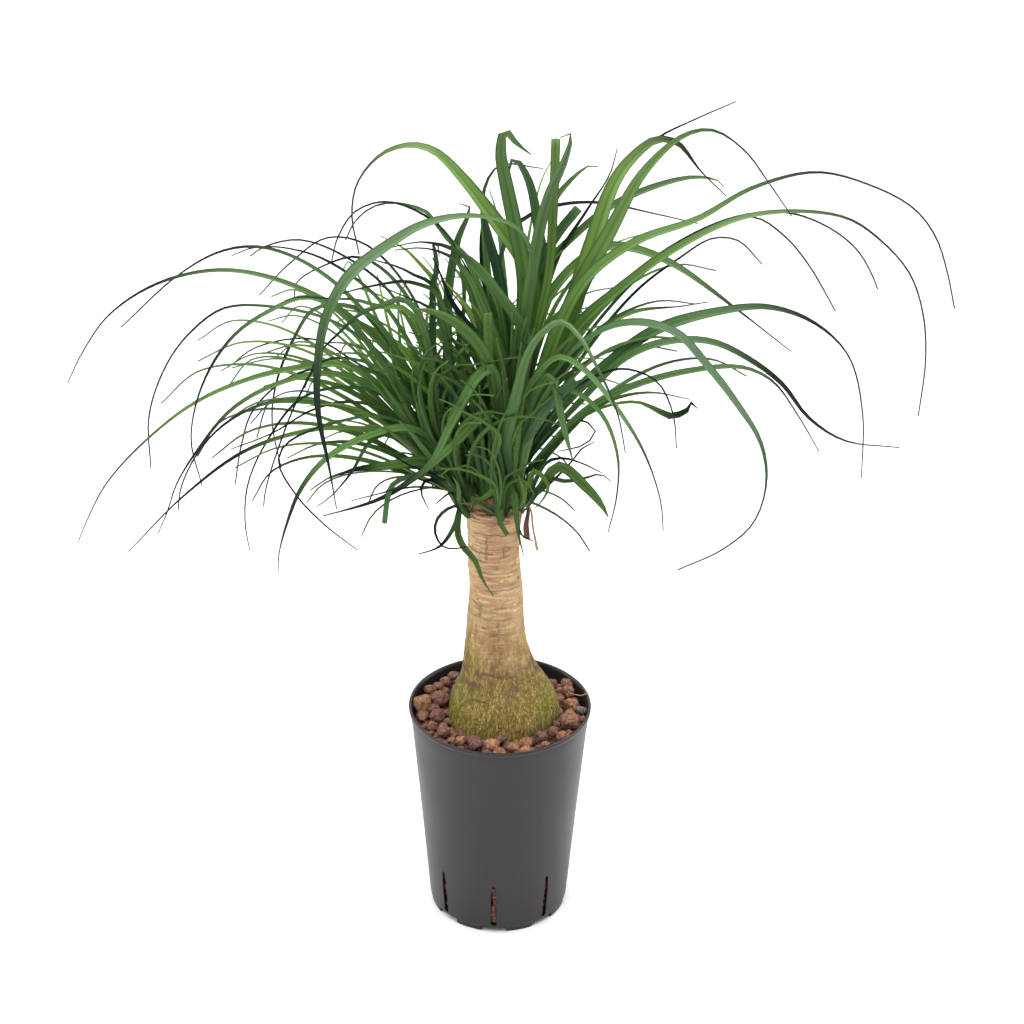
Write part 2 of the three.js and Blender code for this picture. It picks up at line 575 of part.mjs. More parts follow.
// A leaf of the inner spiral: it rises from its stem and bends over under its own weight
function innerLeaf(ring, index) {
  const age = (index + 0.5) / ring.count;
  const turn = ((ring.turn + SPIRAL_TURN * index) * Math.PI) / 180;
  const front = Math.max(0, -Math.sin(turn));
  const crowded = Math.max(0, ring.crowded * Math.cos(turn));
  const calm = Math.max(front, 0.7 * crowded);
  const size = 0.4 * spread(index, ring.salt) + 0.6 * Math.sqrt(age);
  const length = mix(ring.length, size) * (1 - 0.5 * calm);
  const width = mix(ring.width, spread(index, ring.salt + 1));
  const swing = 10 * (spread(index, ring.salt + 2) - 0.5);
  const rise = ((mix(ring.rise, age * (1 - 0.6 * calm)) + swing) * Math.PI) / 180;
  const droop = (mix(ring.droop, age * (1 - 0.8 * calm)) * Math.PI) / 180;
  const outward = new THREE.Vector3(Math.cos(turn), Math.sin(turn), 0);
  const upward = new THREE.Vector3(0, 0, 1);
  const leaning = new THREE.Vector3(...HEADS[ring.head].lean).normalize().sub(upward);
  const point = stemPoint(ring.head, 0.1 + 0.85 * (1 - age));
  point.addScaledVector(outward, ROOT_OUT * HEADS[ring.head].slim);
  const points = [point.clone()];
  for (let step = 0; step < INNER_STEPS; step += 1) {
    const share = (step + 0.5) / INNER_STEPS;
    const angle = rise - (rise + droop) * share ** BEND_POWER;
    const heading = outward.clone().multiplyScalar(Math.cos(angle)).addScaledVector(upward, Math.sin(angle));
    heading.addScaledVector(leaning, 0.9 * (1 - share)).normalize();
    point.addScaledVector(heading, length / INNER_STEPS);
    points.push(point.clone());
  }
  return blade(points, width, 0, false);
}

// The stem of a head or a shoot with the leaf bases packed round it
function stem({ base, lean, wide, slim }) {
  const from = new THREE.Vector3(...base);
  const to = from.clone().add(new THREE.Vector3(...lean));
  return frustum(from, to, wide, slim, STEM_SIDES);
}

// All that is green: stems, the leafy heads and the shoots, grown together on the trunk top
function buildFoliage() {
  const floor = TRUNK_TOP + GAP;
  const crown = frustum(
    new THREE.Vector3(TRUNK_MIDDLE, 0, floor),
    new THREE.Vector3(TRUNK_MIDDLE, 0, floor + CROWN_HEIGHT),
    CROWN_RADIUS,
    CROWN_RADIUS - 6,
    TRUNK_SIDES,
  );
  const pieces = [crown];
  for (const head of Object.values(HEADS)) {
    pieces.push(stem(head));
  }
  for (const leaf of [...LONG_LEAVES, ...SHOOT_LEAVES]) {
    pieces.push(blade(leafRoute(leaf), leaf[1], leaf[2], false));
  }
  for (const leaf of TRIMMED_LEAVES) {
    pieces.push(blade(leafRoute(leaf), leaf[1], leaf[2], true));
  }
  for (const ring of INNER_LEAVES) {
    for (let index = 0; index < ring.count; index += 1) {
      pieces.push(innerLeaf(ring, index));
    }
  }
  const whole = wasm.Manifold.union(pieces);
  return mainBody(whole.subtract(buildTrunk(GAP)));
}

// The dried sheath and flake that hang beside the trunk top
function buildDryLeaves(foliage) {
  const parts = [DRY_SHEATH, DRY_FLAKE].map(({ width, route }) => {
    const points = route.map((point) => new THREE.Vector3(...point));
    return blade(points, width, 60, true, DRY_KEEL);
  });
  const joined = parts[0].add(parts[1]);
  return mainBody(joined.subtract(foliage).subtract(buildTrunk(GAP)));
}

const plant = new THREE.Group();

function addPiece(name, solid, color, roughness) {
  const material = new THREE.MeshStandardMaterial({ color, roughness, metalness: 0 });
  const piece = new THREE.Mesh(geometryFrom(solid), material);
  piece.name = name;
  plant.add(piece);
}

const foliage = buildFoliage();
addPiece('pot', buildPot(), 0x4a4646, 0.55);
addPiece('clay_pebbles', buildPebbles(), 0x9a6248, 0.9);
addPiece('trunk', buildTrunk(0), 0xc09a6c, 0.8);
addPiece('foliage', foliage, 0x4f7a34, 0.5);
addPiece('dry_leaves', buildDryLeaves(foliage), 0x6b4a44, 0.85);

export default plant;
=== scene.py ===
# %% [markdown]
# # A potted ponytail palm
# The plant is a swollen trunk that stands in clay pebbles in a tall plastic pot, with long
# strap leaves arching from two heads on its cut top. This lesson builds the surface of every
# piece in mesh code and gives each one a procedural material. All places are worked out in
# millimetres, as a grower would measure them, and turned into metres when a mesh is made.

# %% Load the fixed frame
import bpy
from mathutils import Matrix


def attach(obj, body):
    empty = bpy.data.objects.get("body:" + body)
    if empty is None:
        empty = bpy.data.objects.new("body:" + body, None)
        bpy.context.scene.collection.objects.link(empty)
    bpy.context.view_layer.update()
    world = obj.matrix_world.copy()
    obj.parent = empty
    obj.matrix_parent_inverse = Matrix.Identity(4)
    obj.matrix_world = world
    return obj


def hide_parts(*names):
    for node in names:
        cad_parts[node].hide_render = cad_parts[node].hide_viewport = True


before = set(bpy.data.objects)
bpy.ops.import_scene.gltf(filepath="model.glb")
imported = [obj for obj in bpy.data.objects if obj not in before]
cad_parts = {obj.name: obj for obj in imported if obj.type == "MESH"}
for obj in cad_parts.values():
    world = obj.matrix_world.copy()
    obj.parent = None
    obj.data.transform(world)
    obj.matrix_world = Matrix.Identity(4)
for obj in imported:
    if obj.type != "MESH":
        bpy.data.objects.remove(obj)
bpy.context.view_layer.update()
print("nodes of the frame:", sorted(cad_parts))

# %% Libraries and units
import math
import bmesh
import bpy
import numpy as np
from mathutils import Matrix, Vector, noise

MM = 0.001
print("one millimetre is", MM, "Blender units")

# %% [markdown]
# ## The camera and the line of sight
# The photograph looks down on the plant by about 29 degrees from a little over two metres away.
# A camera could be moved by hand until the pot's rim fits. Here its place, tilt and focal
# length are worked out from the ellipses of the pot's rim and base, so each leaf can later be
# laid along the line of sight on which the photograph shows it.

# %% Camera
EYE = np.array([0.0, -2174.0, 1591.0])
LOOK_DOWN = math.radians(29.3)
FOCAL_PIXELS = 3138.0
PICTURE_PIXELS = 1024.0
# The pot's middle lies this far left of the picture's middle
POT_LEFT_PIXELS = 12.0
LOOK_RIGHT = math.atan2(POT_LEFT_PIXELS, FOCAL_PIXELS)
CAMERA_ROLL = math.radians(0.6)
SENSOR_WIDTH = 36.0
CLIP_METRES = 50


def camera_axes():
    forward = Vector((
        math.sin(LOOK_RIGHT) * math.cos(LOOK_DOWN),
        math.cos(LOOK_RIGHT) * math.cos(LOOK_DOWN),
        -math.sin(LOOK_DOWN),
    ))
    level = forward.cross(Vector((0, 0, 1))).normalized()
    upright = level.cross(forward)
    right = level * math.cos(CAMERA_ROLL) + upright * math.sin(CAMERA_ROLL)
    up = upright * math.cos(CAMERA_ROLL) - level * math.sin(CAMERA_ROLL)
    return right, up, forward


right, up, forward = camera_axes()
camera_data = bpy.data.cameras.new("camera")
camera_data.sensor_width = SENSOR_WIDTH
camera_data.lens = FOCAL_PIXELS / PICTURE_PIXELS * SENSOR_WIDTH
camera_data.clip_end = CLIP_METRES
camera = bpy.data.objects.new("camera", camera_data)
turn = Matrix((right, up, -forward)).transposed().to_4x4()
camera.matrix_world = Matrix.Translation(Vector(EYE) * MM) @ turn
bpy.context.scene.collection.objects.link(camera)
bpy.context.scene.camera = camera
print("camera lens in millimetres:", round(camera_data.lens, 1))


# %% Points on the line of sight
POT_HEIGHT = 190.0
RIM_FRONT_PIXEL = (502, 753)
HALF_PICTURE = PICTURE_PIXELS / 2
# Steps and scale that scatter the values of spread
INDEX_STEP = 12.9898
SALT_STEP = 78.233
SPREAD_SCALE = 43758.5453


def sighted(across, up_height, depth):
    """The point at a depth behind the pot's middle that hides a point of the middle plane."""
    share = (depth - EYE[1]) / -EYE[1]
    return np.array([across * share, depth, EYE[2] + share * (up_height - EYE[2])])


def through_pixel(column, row, height):
    """The point at a height above the floor that the photograph shows at a pixel."""
    ray = forward * FOCAL_PIXELS + right * (column - HALF_PICTURE) - up * (row - HALF_PICTURE)
    reach = (height - EYE[2]) / ray.z
    return EYE + np.array(ray) * reach


def spread(index, salt):
    """A steady value from 0 to 1 for a numbered piece, the same in every run."""
    value = math.sin(index * INDEX_STEP + salt * SALT_STEP) * SPREAD_SCALE
    return value - math.floor(value)


def mix(low, high, share):
    return low + (high - low) * share


def soft_step(value, low, high):
    """0 below low, 1 above high, and a soft change between them."""
    share = np.clip((value - low) / (high - low), 0, 1)
    return share * share * (3 - 2 * share)


print("the rim's front edge is", through_pixel(*RIM_FRONT_PIXEL, POT_HEIGHT).round(0), "mm")

# %% [markdown]
# ## Materials: the helpers and the shared effects
# A material could be one flat colour, but skin, bark and fired clay all vary. Three effects come
# back in several materials: a stretched grain, small specks, and the fine lines of a leaf.
# Each is a shader node group with named inputs, so a material only chooses its own values.


# %% Node helpers
def add_node(tree, kind, inputs=None, **settings):
    made = tree.nodes.new(kind)
    for name, value in settings.items():
        setattr(made, name, value)
    for place, value in (inputs or {}).items():
        socket = made.inputs[place]
        if isinstance(value, bpy.types.NodeSocket):
            tree.links.new(value, socket)
        else:
            socket.default_value = value
    return made


def calculate(tree, operation, first, second=0.0):
    made = add_node(tree, "ShaderNodeMath", {0: first, 1: second}, operation=operation)
    return made.outputs[0]


def stretch_place(tree, place, amounts):
    """A place stretched by its own amount along each axis."""
    made = add_node(tree, "ShaderNodeVectorMath", {0: place, 1: amounts}, operation="MULTIPLY")
    return made.outputs[0]


def fade(tree, value, low, high):
    """0 below low, 1 above high, and a soft change between them."""
    made = add_node(
        tree,
        "ShaderNodeMapRange",
        {"Value": value, "From Min": low, "From Max": high},
        interpolation_type="SMOOTHSTEP",
    )
    return made.outputs["Result"]


def blend_colors(tree, share, first, second):
    made = add_node(tree, "ShaderNodeMix", {0: share, 6: first, 7: second}, data_type="RGBA")
    return made.outputs[2]


def tint(tree, base, mask, strength, color):
    """A base color with a second one laid over it where the mask says, at most at this strength."""
    share = calculate(tree, "MULTIPLY", mask, strength)
    return blend_colors(tree, share, base, (*color, 1))


def color_ramp(tree, value, stops):
    made = add_node(tree, "ShaderNodeValToRGB", {"Fac": value})
    ramp = made.color_ramp
    while len(ramp.elements) < len(stops):
        ramp.elements.new(0.5)
    for element, (position, color) in zip(ramp.elements, stops):
        element.position = position
        element.color = (*color, 1)
    return made.outputs["Color"]


def attribute(tree, name):
    return add_node(tree, "ShaderNodeAttribute", attribute_name=name).outputs["Fac"]


def object_place(tree):
    return add_node(tree, "ShaderNodeTexCoord").outputs["Object"]


def add_bump(tree, surface, strength, distance, height):
    """Relief for the light only. The distance is in metres."""
    inputs = {"Strength": strength, "Distance": distance, "Height": height}
    bump = add_node(tree, "ShaderNodeBump", inputs)
    tree.links.new(bump.outputs["Normal"], surface.inputs["Normal"])


def new_material(name, roughness):
    material = bpy.data.materials.new(name)
    material.use_nodes = True
    tree = material.node_tree
    tree.nodes.clear()
    output = add_node(tree, "ShaderNodeOutputMaterial")
    surface = add_node(tree, "ShaderNodeBsdfPrincipled", {"Roughness": roughness})
    tree.links.new(surface.outputs["BSDF"], output.inputs["Surface"])
    return material, tree, surface


def new_group(name, inputs, outputs):
    group = bpy.data.node_groups.new(name, "ShaderNodeTree")
    for label, kind in inputs:
        group.interface.new_socket(label, in_out="INPUT", socket_type=kind)
    for label in outputs:
        group.interface.new_socket(label, in_out="OUTPUT", socket_type="NodeSocketFloat")
    start = add_node(group, "NodeGroupInput").outputs
    end = add_node(group, "NodeGroupOutput").inputs
    return group, start, end


print("node helpers are ready")

# %% Shared effect: stretched grain
grain_group, start, end = new_group(
    "Stretched Grain",
    [
        ("Place", "NodeSocketVector"),
        ("Stretch", "NodeSocketVector"),
        ("Detail", "NodeSocketFloat"),
        ("Dark Below", "NodeSocketFloat"),
        ("Light Above", "NodeSocketFloat"),
    ],
    ["Mask"],
)
stretched = stretch_place(grain_group, start["Place"], start["Stretch"])
inputs = {"Vector": stretched, "Scale": 1.0, "Detail": start["Detail"]}
cloud = add_node(grain_group, "ShaderNodeTexNoise", inputs)
contrast = fade(grain_group, cloud.outputs[0], start["Dark Below"], start["Light Above"])
grain_group.links.new(contrast, end["Mask"])


def grain(tree, place, stretch, detail, dark, light):
    inputs = {"Place": place, "Stretch": stretch, "Detail": detail}
    inputs.update({"Dark Below": dark, "Light Above": light})
    return add_node(tree, "ShaderNodeGroup", inputs, node_tree=grain_group).outputs["Mask"]


print("group made:", grain_group.name)

# %% Shared effect: specks
speck_group, start, end = new_group(
    "Specks",
    [
        ("Place", "NodeSocketVector"),
        ("Stretch", "NodeSocketVector"),
        ("Size", "NodeSocketFloat"),
        ("Coverage", "NodeSocketFloat"),
    ],
    ["Mask"],
)
stretched = stretch_place(speck_group, start["Place"], start["Stretch"])
cells = add_node(speck_group, "ShaderNodeTexVoronoi", {"Vector": stretched, "Scale": 1.0})
chance = add_node(speck_group, "ShaderNodeSeparateColor", {"Color": cells.outputs["Color"]})
chosen = calculate(speck_group, "LESS_THAN", chance.outputs[0], start["Coverage"])
ragged = add_node(speck_group, "ShaderNodeTexNoise", {"Vector": stretched, "Scale": 3.0, "Detail": 2.0})
edge = calculate(speck_group, "MULTIPLY", start["Size"], ragged.outputs[0])
inside = calculate(speck_group, "LESS_THAN", cells.outputs["Distance"], edge)
mask = calculate(speck_group, "MULTIPLY", chosen, inside)
speck_group.links.new(mask, end["Mask"])


def specks(tree, place, stretch, size, coverage):
    inputs = {"Place": place, "Stretch": stretch, "Size": size, "Coverage": coverage}
    return add_node(tree, "ShaderNodeGroup", inputs, node_tree=speck_group).outputs["Mask"]


print("group made:", speck_group.name)

# %% Shared effect: leaf lines
lines_group, start, end = new_group(
    "Leaf Lines",
    [
        ("Across", "NodeSocketFloat"),
        ("Reach", "NodeSocketFloat"),
        ("Tone", "NodeSocketFloat"),
        ("Line Count", "NodeSocketFloat"),
    ],
    ["Lines", "Midrib", "Margin"],
)
inputs = {"X": start["Across"], "Y": start["Reach"], "Z": start["Tone"]}
place = add_node(lines_group, "ShaderNodeCombineXYZ", inputs)
scale = add_node(lines_group, "ShaderNodeCombineXYZ", {"X": start["Line Count"], "Y": 10.0, "Z": 40.0})
fine = stretch_place(lines_group, place.outputs[0], scale.outputs[0])
streaks = add_node(lines_group, "ShaderNodeTexNoise", {"Vector": fine, "Scale": 1.0, "Detail": 2.0})
lines = fade(lines_group, streaks.outputs[0], 0.35, 0.65)
off_middle = calculate(lines_group, "ABSOLUTE", start["Across"])
midrib = calculate(lines_group, "SUBTRACT", 1.0, fade(lines_group, off_middle, 0.04, 0.3))
lines_group.links.new(lines, end["Lines"])
lines_group.links.new(midrib, end["Midrib"])
lines_group.links.new(fade(lines_group, off_middle, 0.62, 1.0), end["Margin"])


def leaf_lines(tree, count):
    inputs = {name.title(): attribute(tree, name) for name in ("across", "reach", "tone")}
    inputs["Line Count"] = count
    made = add_node(tree, "ShaderNodeGroup", inputs, node_tree=lines_group)
    return made.outputs["Lines"], made.outputs["Midrib"], made.outputs["Margin"]


print("group made:", lines_group.name)

# %% [markdown]
# ## The pot
# The real pot is blown or moulded from thin dark plastic: a taper with a collar, a bead round
# the rim, slots that let water in, and short feet. A lathe of its true section is better,
# because it gives the wall, the step under the collar and the bead their real sizes. The
# slots are then cut and the feet joined on.

# %% Pot material
pot_plastic, tree, surface = new_material("dark pot plastic", 0.42)
surface.inputs["Specular IOR Level"].default_value = 0.36
place = object_place(tree)
cloudy = grain(tree, place, (22.0, 22.0, 14.0), 3.0, 0.3, 0.7)
fine = grain(tree, place, (900.0, 900.0, 500.0), 2.0, 0.3, 0.7)
base = blend_colors(tree, cloudy, (0.0185, 0.0155, 0.0165, 1), (0.023, 0.0195, 0.0205, 1))
dust = specks(tree, place, (140.0, 140.0, 140.0), 0.22, 0.1)
dusted = tint(tree, base, dust, 0.35, (0.08, 0.076, 0.074))
tree.links.new(dusted, surface.inputs["Base Color"])
shine = add_node(tree, "ShaderNodeMath", {0: cloudy, 1: 0.08, 2: 0.4}, operation="MULTIPLY_ADD")
tree.links.new(shine.outputs[0], surface.inputs["Roughness"])
add_bump(tree, surface, 0.12, 0.0003, fine)
print("material made:", pot_plastic.name)


# %% Mesh helpers
CORNER_STEPS = 3


def add_piece(name, points, faces, material, node):
    """Makes a smooth mesh piece from points in millimetres, and hands it to the frame."""
    mesh = bpy.data.meshes.new(name)
    mesh.from_pydata((np.asarray(points) * MM).tolist(), [], faces)
    mesh.polygons.foreach_set("use_smooth", [True] * len(mesh.polygons))
    mesh.materials.append(material)
    piece = bpy.data.objects.new(name, mesh)
    bpy.context.scene.collection.objects.link(piece)
    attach(piece, "root")
    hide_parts(node)
    return piece


def add_values(piece, name, values):
    """Stores one value for each point of a piece, which its material reads by this name."""
    piece.data.attributes.new(name, "FLOAT", "POINT").data.foreach_set("value", values)


def soften(corners, reach):
    """Rounds each corner of an open outline, by at most reach along each side."""
    corners = [np.array(corner, float) for corner in corners]
    outline = [corners[0]]
    for before, corner, after in zip(corners, corners[1:], corners[2:]):
        back = before - corner
        ahead = after - corner
        cut = min(reach, 0.45 * np.linalg.norm(back), 0.45 * np.linalg.norm(ahead))
        first = corner + back / np.linalg.norm(back) * cut
        last = corner + ahead / np.linalg.norm(ahead) * cut
        for step in range(CORNER_STEPS + 1):
            share = step / CORNER_STEPS
            bent = (1 - share) ** 2 * first + 2 * share * (1 - share) * corner + share ** 2 * last
            outline.append(bent)
    outline.append(corners[-1])
    return outline


def lathe(outline, segments):
    """Turns an outline that starts and ends on the axis into a closed surface."""
    points = [(0, 0, outline[0][1])]
    rings = outline[1:-1]
    for radius, height in rings:
        for segment in range(segments):
            angle = 2 * math.pi * segment / segments
            points.append((radius * math.cos(angle), radius * math.sin(angle), height))
    points.append((0, 0, outline[-1][1]))
    faces = []
    for segment in range(segments):
        after = (segment + 1) % segments
        faces.append((0, 1 + after, 1 + segment))
        for ring in range(len(rings) - 1):
            low = 1 + ring * segments
            high = low + segments
            faces.append((low + segment, low + after, high + after, high + segment))
        top = 1 + (len(rings) - 1) * segments
        faces.append((top + segment, top + after, len(points) - 1))
    return points, faces


def ring_faces(rings, size, clockwise=False):
    """The faces of a closed strip of rings of points, with as many points in each ring."""
    faces = [tuple(range(size) if clockwise else reversed(range(size)))]
    for ring in range(rings - 1):
        low = ring * size
        high = low + size
        for side in range(size):
            after = (side + 1) % size
            if clockwise:
                faces.append((low + side, high + side, high + after, low + after))
            else:
                faces.append((low + side, low + after, high + after, high + side))
    last = range((rings - 1) * size, rings * size)
    faces.append(tuple(reversed(last) if clockwise else last))
    return faces


def combine(piece, tool, operation):
    """Joins a second closed mesh to a piece, or cuts it out, and keeps the result."""
    change = piece.modifiers.new("combine", "BOOLEAN")
    change.operation = operation
    change.object = tool
    change.solver = "MANIFOLD"
    evaluated = piece.evaluated_get(bpy.context.evaluated_depsgraph_get())
    finished = bpy.data.meshes.new_from_object(evaluated)
    piece.modifiers.clear()
    piece.data = finished
    bpy.data.objects.remove(tool)


def tool_object(points, faces):
    mesh = bpy.data.meshes.new("tool")
    mesh.from_pydata((np.asarray(points) * MM).tolist(), [], faces)
    tool = bpy.data.objects.new("tool", mesh)
    bpy.context.scene.collection.objects.link(tool)
    return tool


print("mesh helpers are ready")

# %% Pot shell
RIM_RADIUS = 75.0
COLLAR_RADIUS = 73.4
SHOULDER_RADIUS = 72.0
COLLAR_FOOT = 176.0
BASE_RADIUS = 57.3
BASE_LEVEL = 3.5
POT_WALL = 1.4
POT_FLOOR = 2.2
POT_SEGMENTS = 192


def wall_radius(height):
    return mix(BASE_RADIUS, SHOULDER_RADIUS, (height - BASE_LEVEL) / (COLLAR_FOOT - BASE_LEVEL))


outer = [
    (0, BASE_LEVEL),
    (BASE_RADIUS - 2.4, BASE_LEVEL),
    (wall_radius(6) - 0.4, BASE_LEVEL + 1.0),
    (wall_radius(8), 8),
    (wall_radius(90), 90),
    (SHOULDER_RADIUS - 0.2, COLLAR_FOOT - 6),
    (COLLAR_RADIUS - 0.75, COLLAR_FOOT + 0.5),
    (COLLAR_RADIUS - 0.1, COLLAR_FOOT + 7),
    (COLLAR_RADIUS, POT_HEIGHT - 3.6),
    (RIM_RADIUS, POT_HEIGHT - 2.2),
    (RIM_RADIUS, POT_HEIGHT),
]
inner = [
    (COLLAR_RADIUS - 0.6, POT_HEIGHT),
    (COLLAR_RADIUS - 0.9, POT_HEIGHT - 0.9),
    (COLLAR_RADIUS - POT_WALL, POT_HEIGHT - 1.5),
    (COLLAR_RADIUS - POT_WALL - 0.3, COLLAR_FOOT + 1.5),
    (SHOULDER_RADIUS - POT_WALL, COLLAR_FOOT - 1),
    (wall_radius(BASE_LEVEL + POT_FLOOR + 2) - POT_WALL, BASE_LEVEL + POT_FLOOR + 2),
    (BASE_RADIUS - POT_WALL - 2.5, BASE_LEVEL + POT_FLOOR),
    (0, BASE_LEVEL + POT_FLOOR),
]
points, faces = lathe(soften(outer + inner, 0.9), POT_SEGMENTS)
pot_shell = add_piece("pot_shell", points, faces, pot_plastic, "pot")
print("pot shell:", len(points), "points before cutting")

# %% Feet and slots
FOOT_COUNT = 8
FOOT_HALF_ANGLE = math.radians(11.5)
FOOT_STEPS = 10
# Radius and height of the corners of a foot's section
FOOT_SECTION = [(45.4, 4.4), (45.4, 0), (56.3, 0), (56.6, 4.4)]
FOOT_ROUNDING = 0.8
SLOT_TURN = math.radians(-3.6)
SLOT_HALF_WIDTH = 2.3
SLOT_NECK_HALF = 1.5
SLOT_LEVELS = (6.6, 40.0, 43.0, 49.5)
# The block that cuts a slot reaches from outside the wall to well inside it
SLOT_DEPTHS = (-80, -48)
CREASE_ANGLE = math.radians(40)


def foot_shape(middle):
    """A short piece of ring with softened lower edges, round a middle angle."""
    section = soften(FOOT_SECTION, FOOT_ROUNDING)
    points = []
    for step in range(FOOT_STEPS + 1):
        angle = middle + mix(-FOOT_HALF_ANGLE, FOOT_HALF_ANGLE, step / FOOT_STEPS)
        for radius, height in section:
            points.append((radius * math.cos(angle), radius * math.sin(angle), height))
    return points, ring_faces(FOOT_STEPS + 1, len(section), clockwise=True)


def slot_shape(turned):
    """A keyhole slot as a block to cut with: wide below, with a narrow neck above."""
    low, shoulder, neck, high = SLOT_LEVELS
    half = [(0, low), (1.1, low + 0.3), (SLOT_HALF_WIDTH, low + 1.4), (SLOT_HALF_WIDTH, shoulder)]
    half += [(SLOT_NECK_HALF, neck), (SLOT_NECK_HALF, high - 0.8), (0.5, high - 0.1), (0, high)]
    other = [(-across, height) for across, height in reversed(half[1:-1])]
    outline = half + other
    points = []
    for depth in SLOT_DEPTHS:
        for across, height in outline:
            x = across * math.cos(turned) - depth * math.sin(turned)
            y = across * math.sin(turned) + depth * math.cos(turned)
            points.append((x, y, height))
    return points, ring_faces(2, len(outline), clockwise=True)


def gather(shapes):
    """Several separate shapes as one list of points and one of faces."""
    points = []
    faces = []
    for shape_points, shape_faces in shapes:
        first = len(points)
        points.extend(shape_points)
        faces.extend(tuple(first + corner for corner in face) for face in shape_faces)
    return points, faces


slot_turns = [SLOT_TURN + index * 2 * math.pi / FOOT_COUNT for index in range(FOOT_COUNT)]
foot_turns = [turned + math.pi / FOOT_COUNT - math.pi / 2 for turned in slot_turns]
combine(pot_shell, tool_object(*gather(foot_shape(middle) for middle in foot_turns)), "UNION")
combine(pot_shell, tool_object(*gather(slot_shape(turned) for turned in slot_turns)), "DIFFERENCE")
pot_shell.data.set_sharp_from_angle(angle=CREASE_ANGLE)
print("pot with feet and slots:", len(pot_shell.data.polygons), "faces")

# %% [markdown]
# ## The clay pebbles
# Expanded clay is fired until it puffs up: lumpy, a little angular, orange-brown to purple-brown,
# with pale mineral dust. A noise texture on a flat disc would fool nobody from the side. Each
# pebble is a ball with flats pressed into it and a fine rough skin. Those that stand out in the
# photograph are placed along its lines of sight, and smaller ones fill the ring between them.

# %% Pebble material
fired_clay, tree, surface = new_material("fired clay pebble", 0.88)
surface.inputs["Specular IOR Level"].default_value = 0.12
place = object_place(tree)
tone = attribute(tree, "tone")
clay = color_ramp(tree, tone, [
    (0.0, (0.27, 0.145, 0.122)),
    (0.3, (0.345, 0.178, 0.13)),
    (0.65, (0.46, 0.23, 0.14)),
    (0.9, (0.6, 0.3, 0.16)),
    (1.0, (0.3, 0.27, 0.25)),
])
patches = grain(tree, place, (420.0, 420.0, 420.0), 6.0, 0.4, 0.58)
darker = blend_colors(tree, 0.55, clay, (0.085, 0.045, 0.04, 1))
patched = blend_colors(tree, patches, darker, clay)
pores = specks(tree, place, (1500.0, 1500.0, 1500.0), 0.6, 0.45)
pored = tint(tree, patched, pores, 0.6, (0.05, 0.028, 0.022))
chalk = specks(tree, place, (800.0, 800.0, 800.0), 0.8, 0.16)
chalked = tint(tree, pored, chalk, 0.42, (0.62, 0.47, 0.38))
tree.links.new(chalked, surface.inputs["Base Color"])
skin = grain(tree, place, (1400.0, 1400.0, 1400.0), 3.0, 0.2, 0.8)
rough = calculate(tree, "SUBTRACT", skin, pores)
add_bump(tree, surface, 0.95, 0.001, rough)
print("material made:", fired_clay.name)

# %% Pebbles seen in the photograph
# Column and row of the middle in the photograph, radius in millimetres, and tone from dark to
# orange, with a rare grey one at 1
SEEN_PEBBLES = [
    (422.5, 703, 8.0, 0.8), (440, 699, 7.4, 0.3), (446, 681, 5.0, 0.5), (454, 676, 5.0, 0.2),
    (437.5, 715.6, 6.0, 0.25), (423, 718, 3.3, 0.75), (433, 726, 4.6, 0.6), (444, 731, 5.2, 0.4),
    (451.5, 740, 3.0, 0.7), (461.6, 740, 4.6, 0.85), (475, 743, 6.4, 0.1), (492.4, 745, 5.8, 0.9),
    (500, 738, 5.4, 0.2), (513, 747, 5.0, 0.8), (526, 743, 5.0, 0.75), (540.6, 737, 5.4, 0.1),
    (545.3, 744, 3.2, 0.9), (553.3, 731, 4.8, 0.05), (561.3, 736, 4.8, 0.7), (569.3, 720.3, 8.6, 0.55),
    (581.4, 710.3, 4.2, 1.0), (572, 704.3, 6.4, 0.85), (568, 692.2, 5.6, 0.7), (567.3, 684, 5.8, 0.5),
    (552.6, 684, 4.5, 0.15), (582, 719, 3.2, 0.6), (557, 723.7, 3.2, 0.05), (430, 690, 4.5, 0.5),
    (438, 686, 4.0, 0.3),
]
BED_LEVEL = 181.0
# The pebbles of the fixed model: how many, their smallest and largest radius, and their ring
FRAME_PEBBLES = 48
FRAME_RADII = (4.6, 7.4)
RING_INNER = 46.0
RING_OUTER = 67.0
SPIRAL_DEGREES = 137.508
# The pebbles that are tried in the gaps, from the largest radius to the smallest
FILLER_PEBBLES = 900
FILLER_RADII = (5.4, 2.6)
FILLER_INNER = 44.0
POT_INSIDE = 70.2
# How close two middles may be, as a share of the sum of the two radii
SEEN_APART = 0.45
FRAME_APART = 0.78
FILLER_APART = 0.84


def round_middle(reach, angle, height):
    """The point at a distance from the pot's axis, an angle round it and a height."""
    return np.array([reach * math.cos(angle), reach * math.sin(angle), height])


def seen_stones():
    stones = []
    for column, row, radius, tone in SEEN_PEBBLES:
        place = through_pixel(column, row, BED_LEVEL + 4)
        stones.append((place, radius, tone))
    return stones


def frame_stones():
    """The pebbles of the fixed model, by the same rule."""
    stones = []
    for index in range(FRAME_PEBBLES):
        radius = mix(*FRAME_RADII, spread(index, 1) ** 1.4)
        ring = math.sqrt(mix(RING_INNER ** 2, RING_OUTER ** 2, (index + 0.5) / FRAME_PEBBLES))
        reach = min(ring, RING_OUTER + 2 - radius)
        angle = math.radians(SPIRAL_DEGREES * index)
        height = BED_LEVEL + 0.25 * radius + 1.5 * spread(index, 7)
        stones.append((round_middle(reach, angle, height), radius, spread(index, 9)))
    return stones


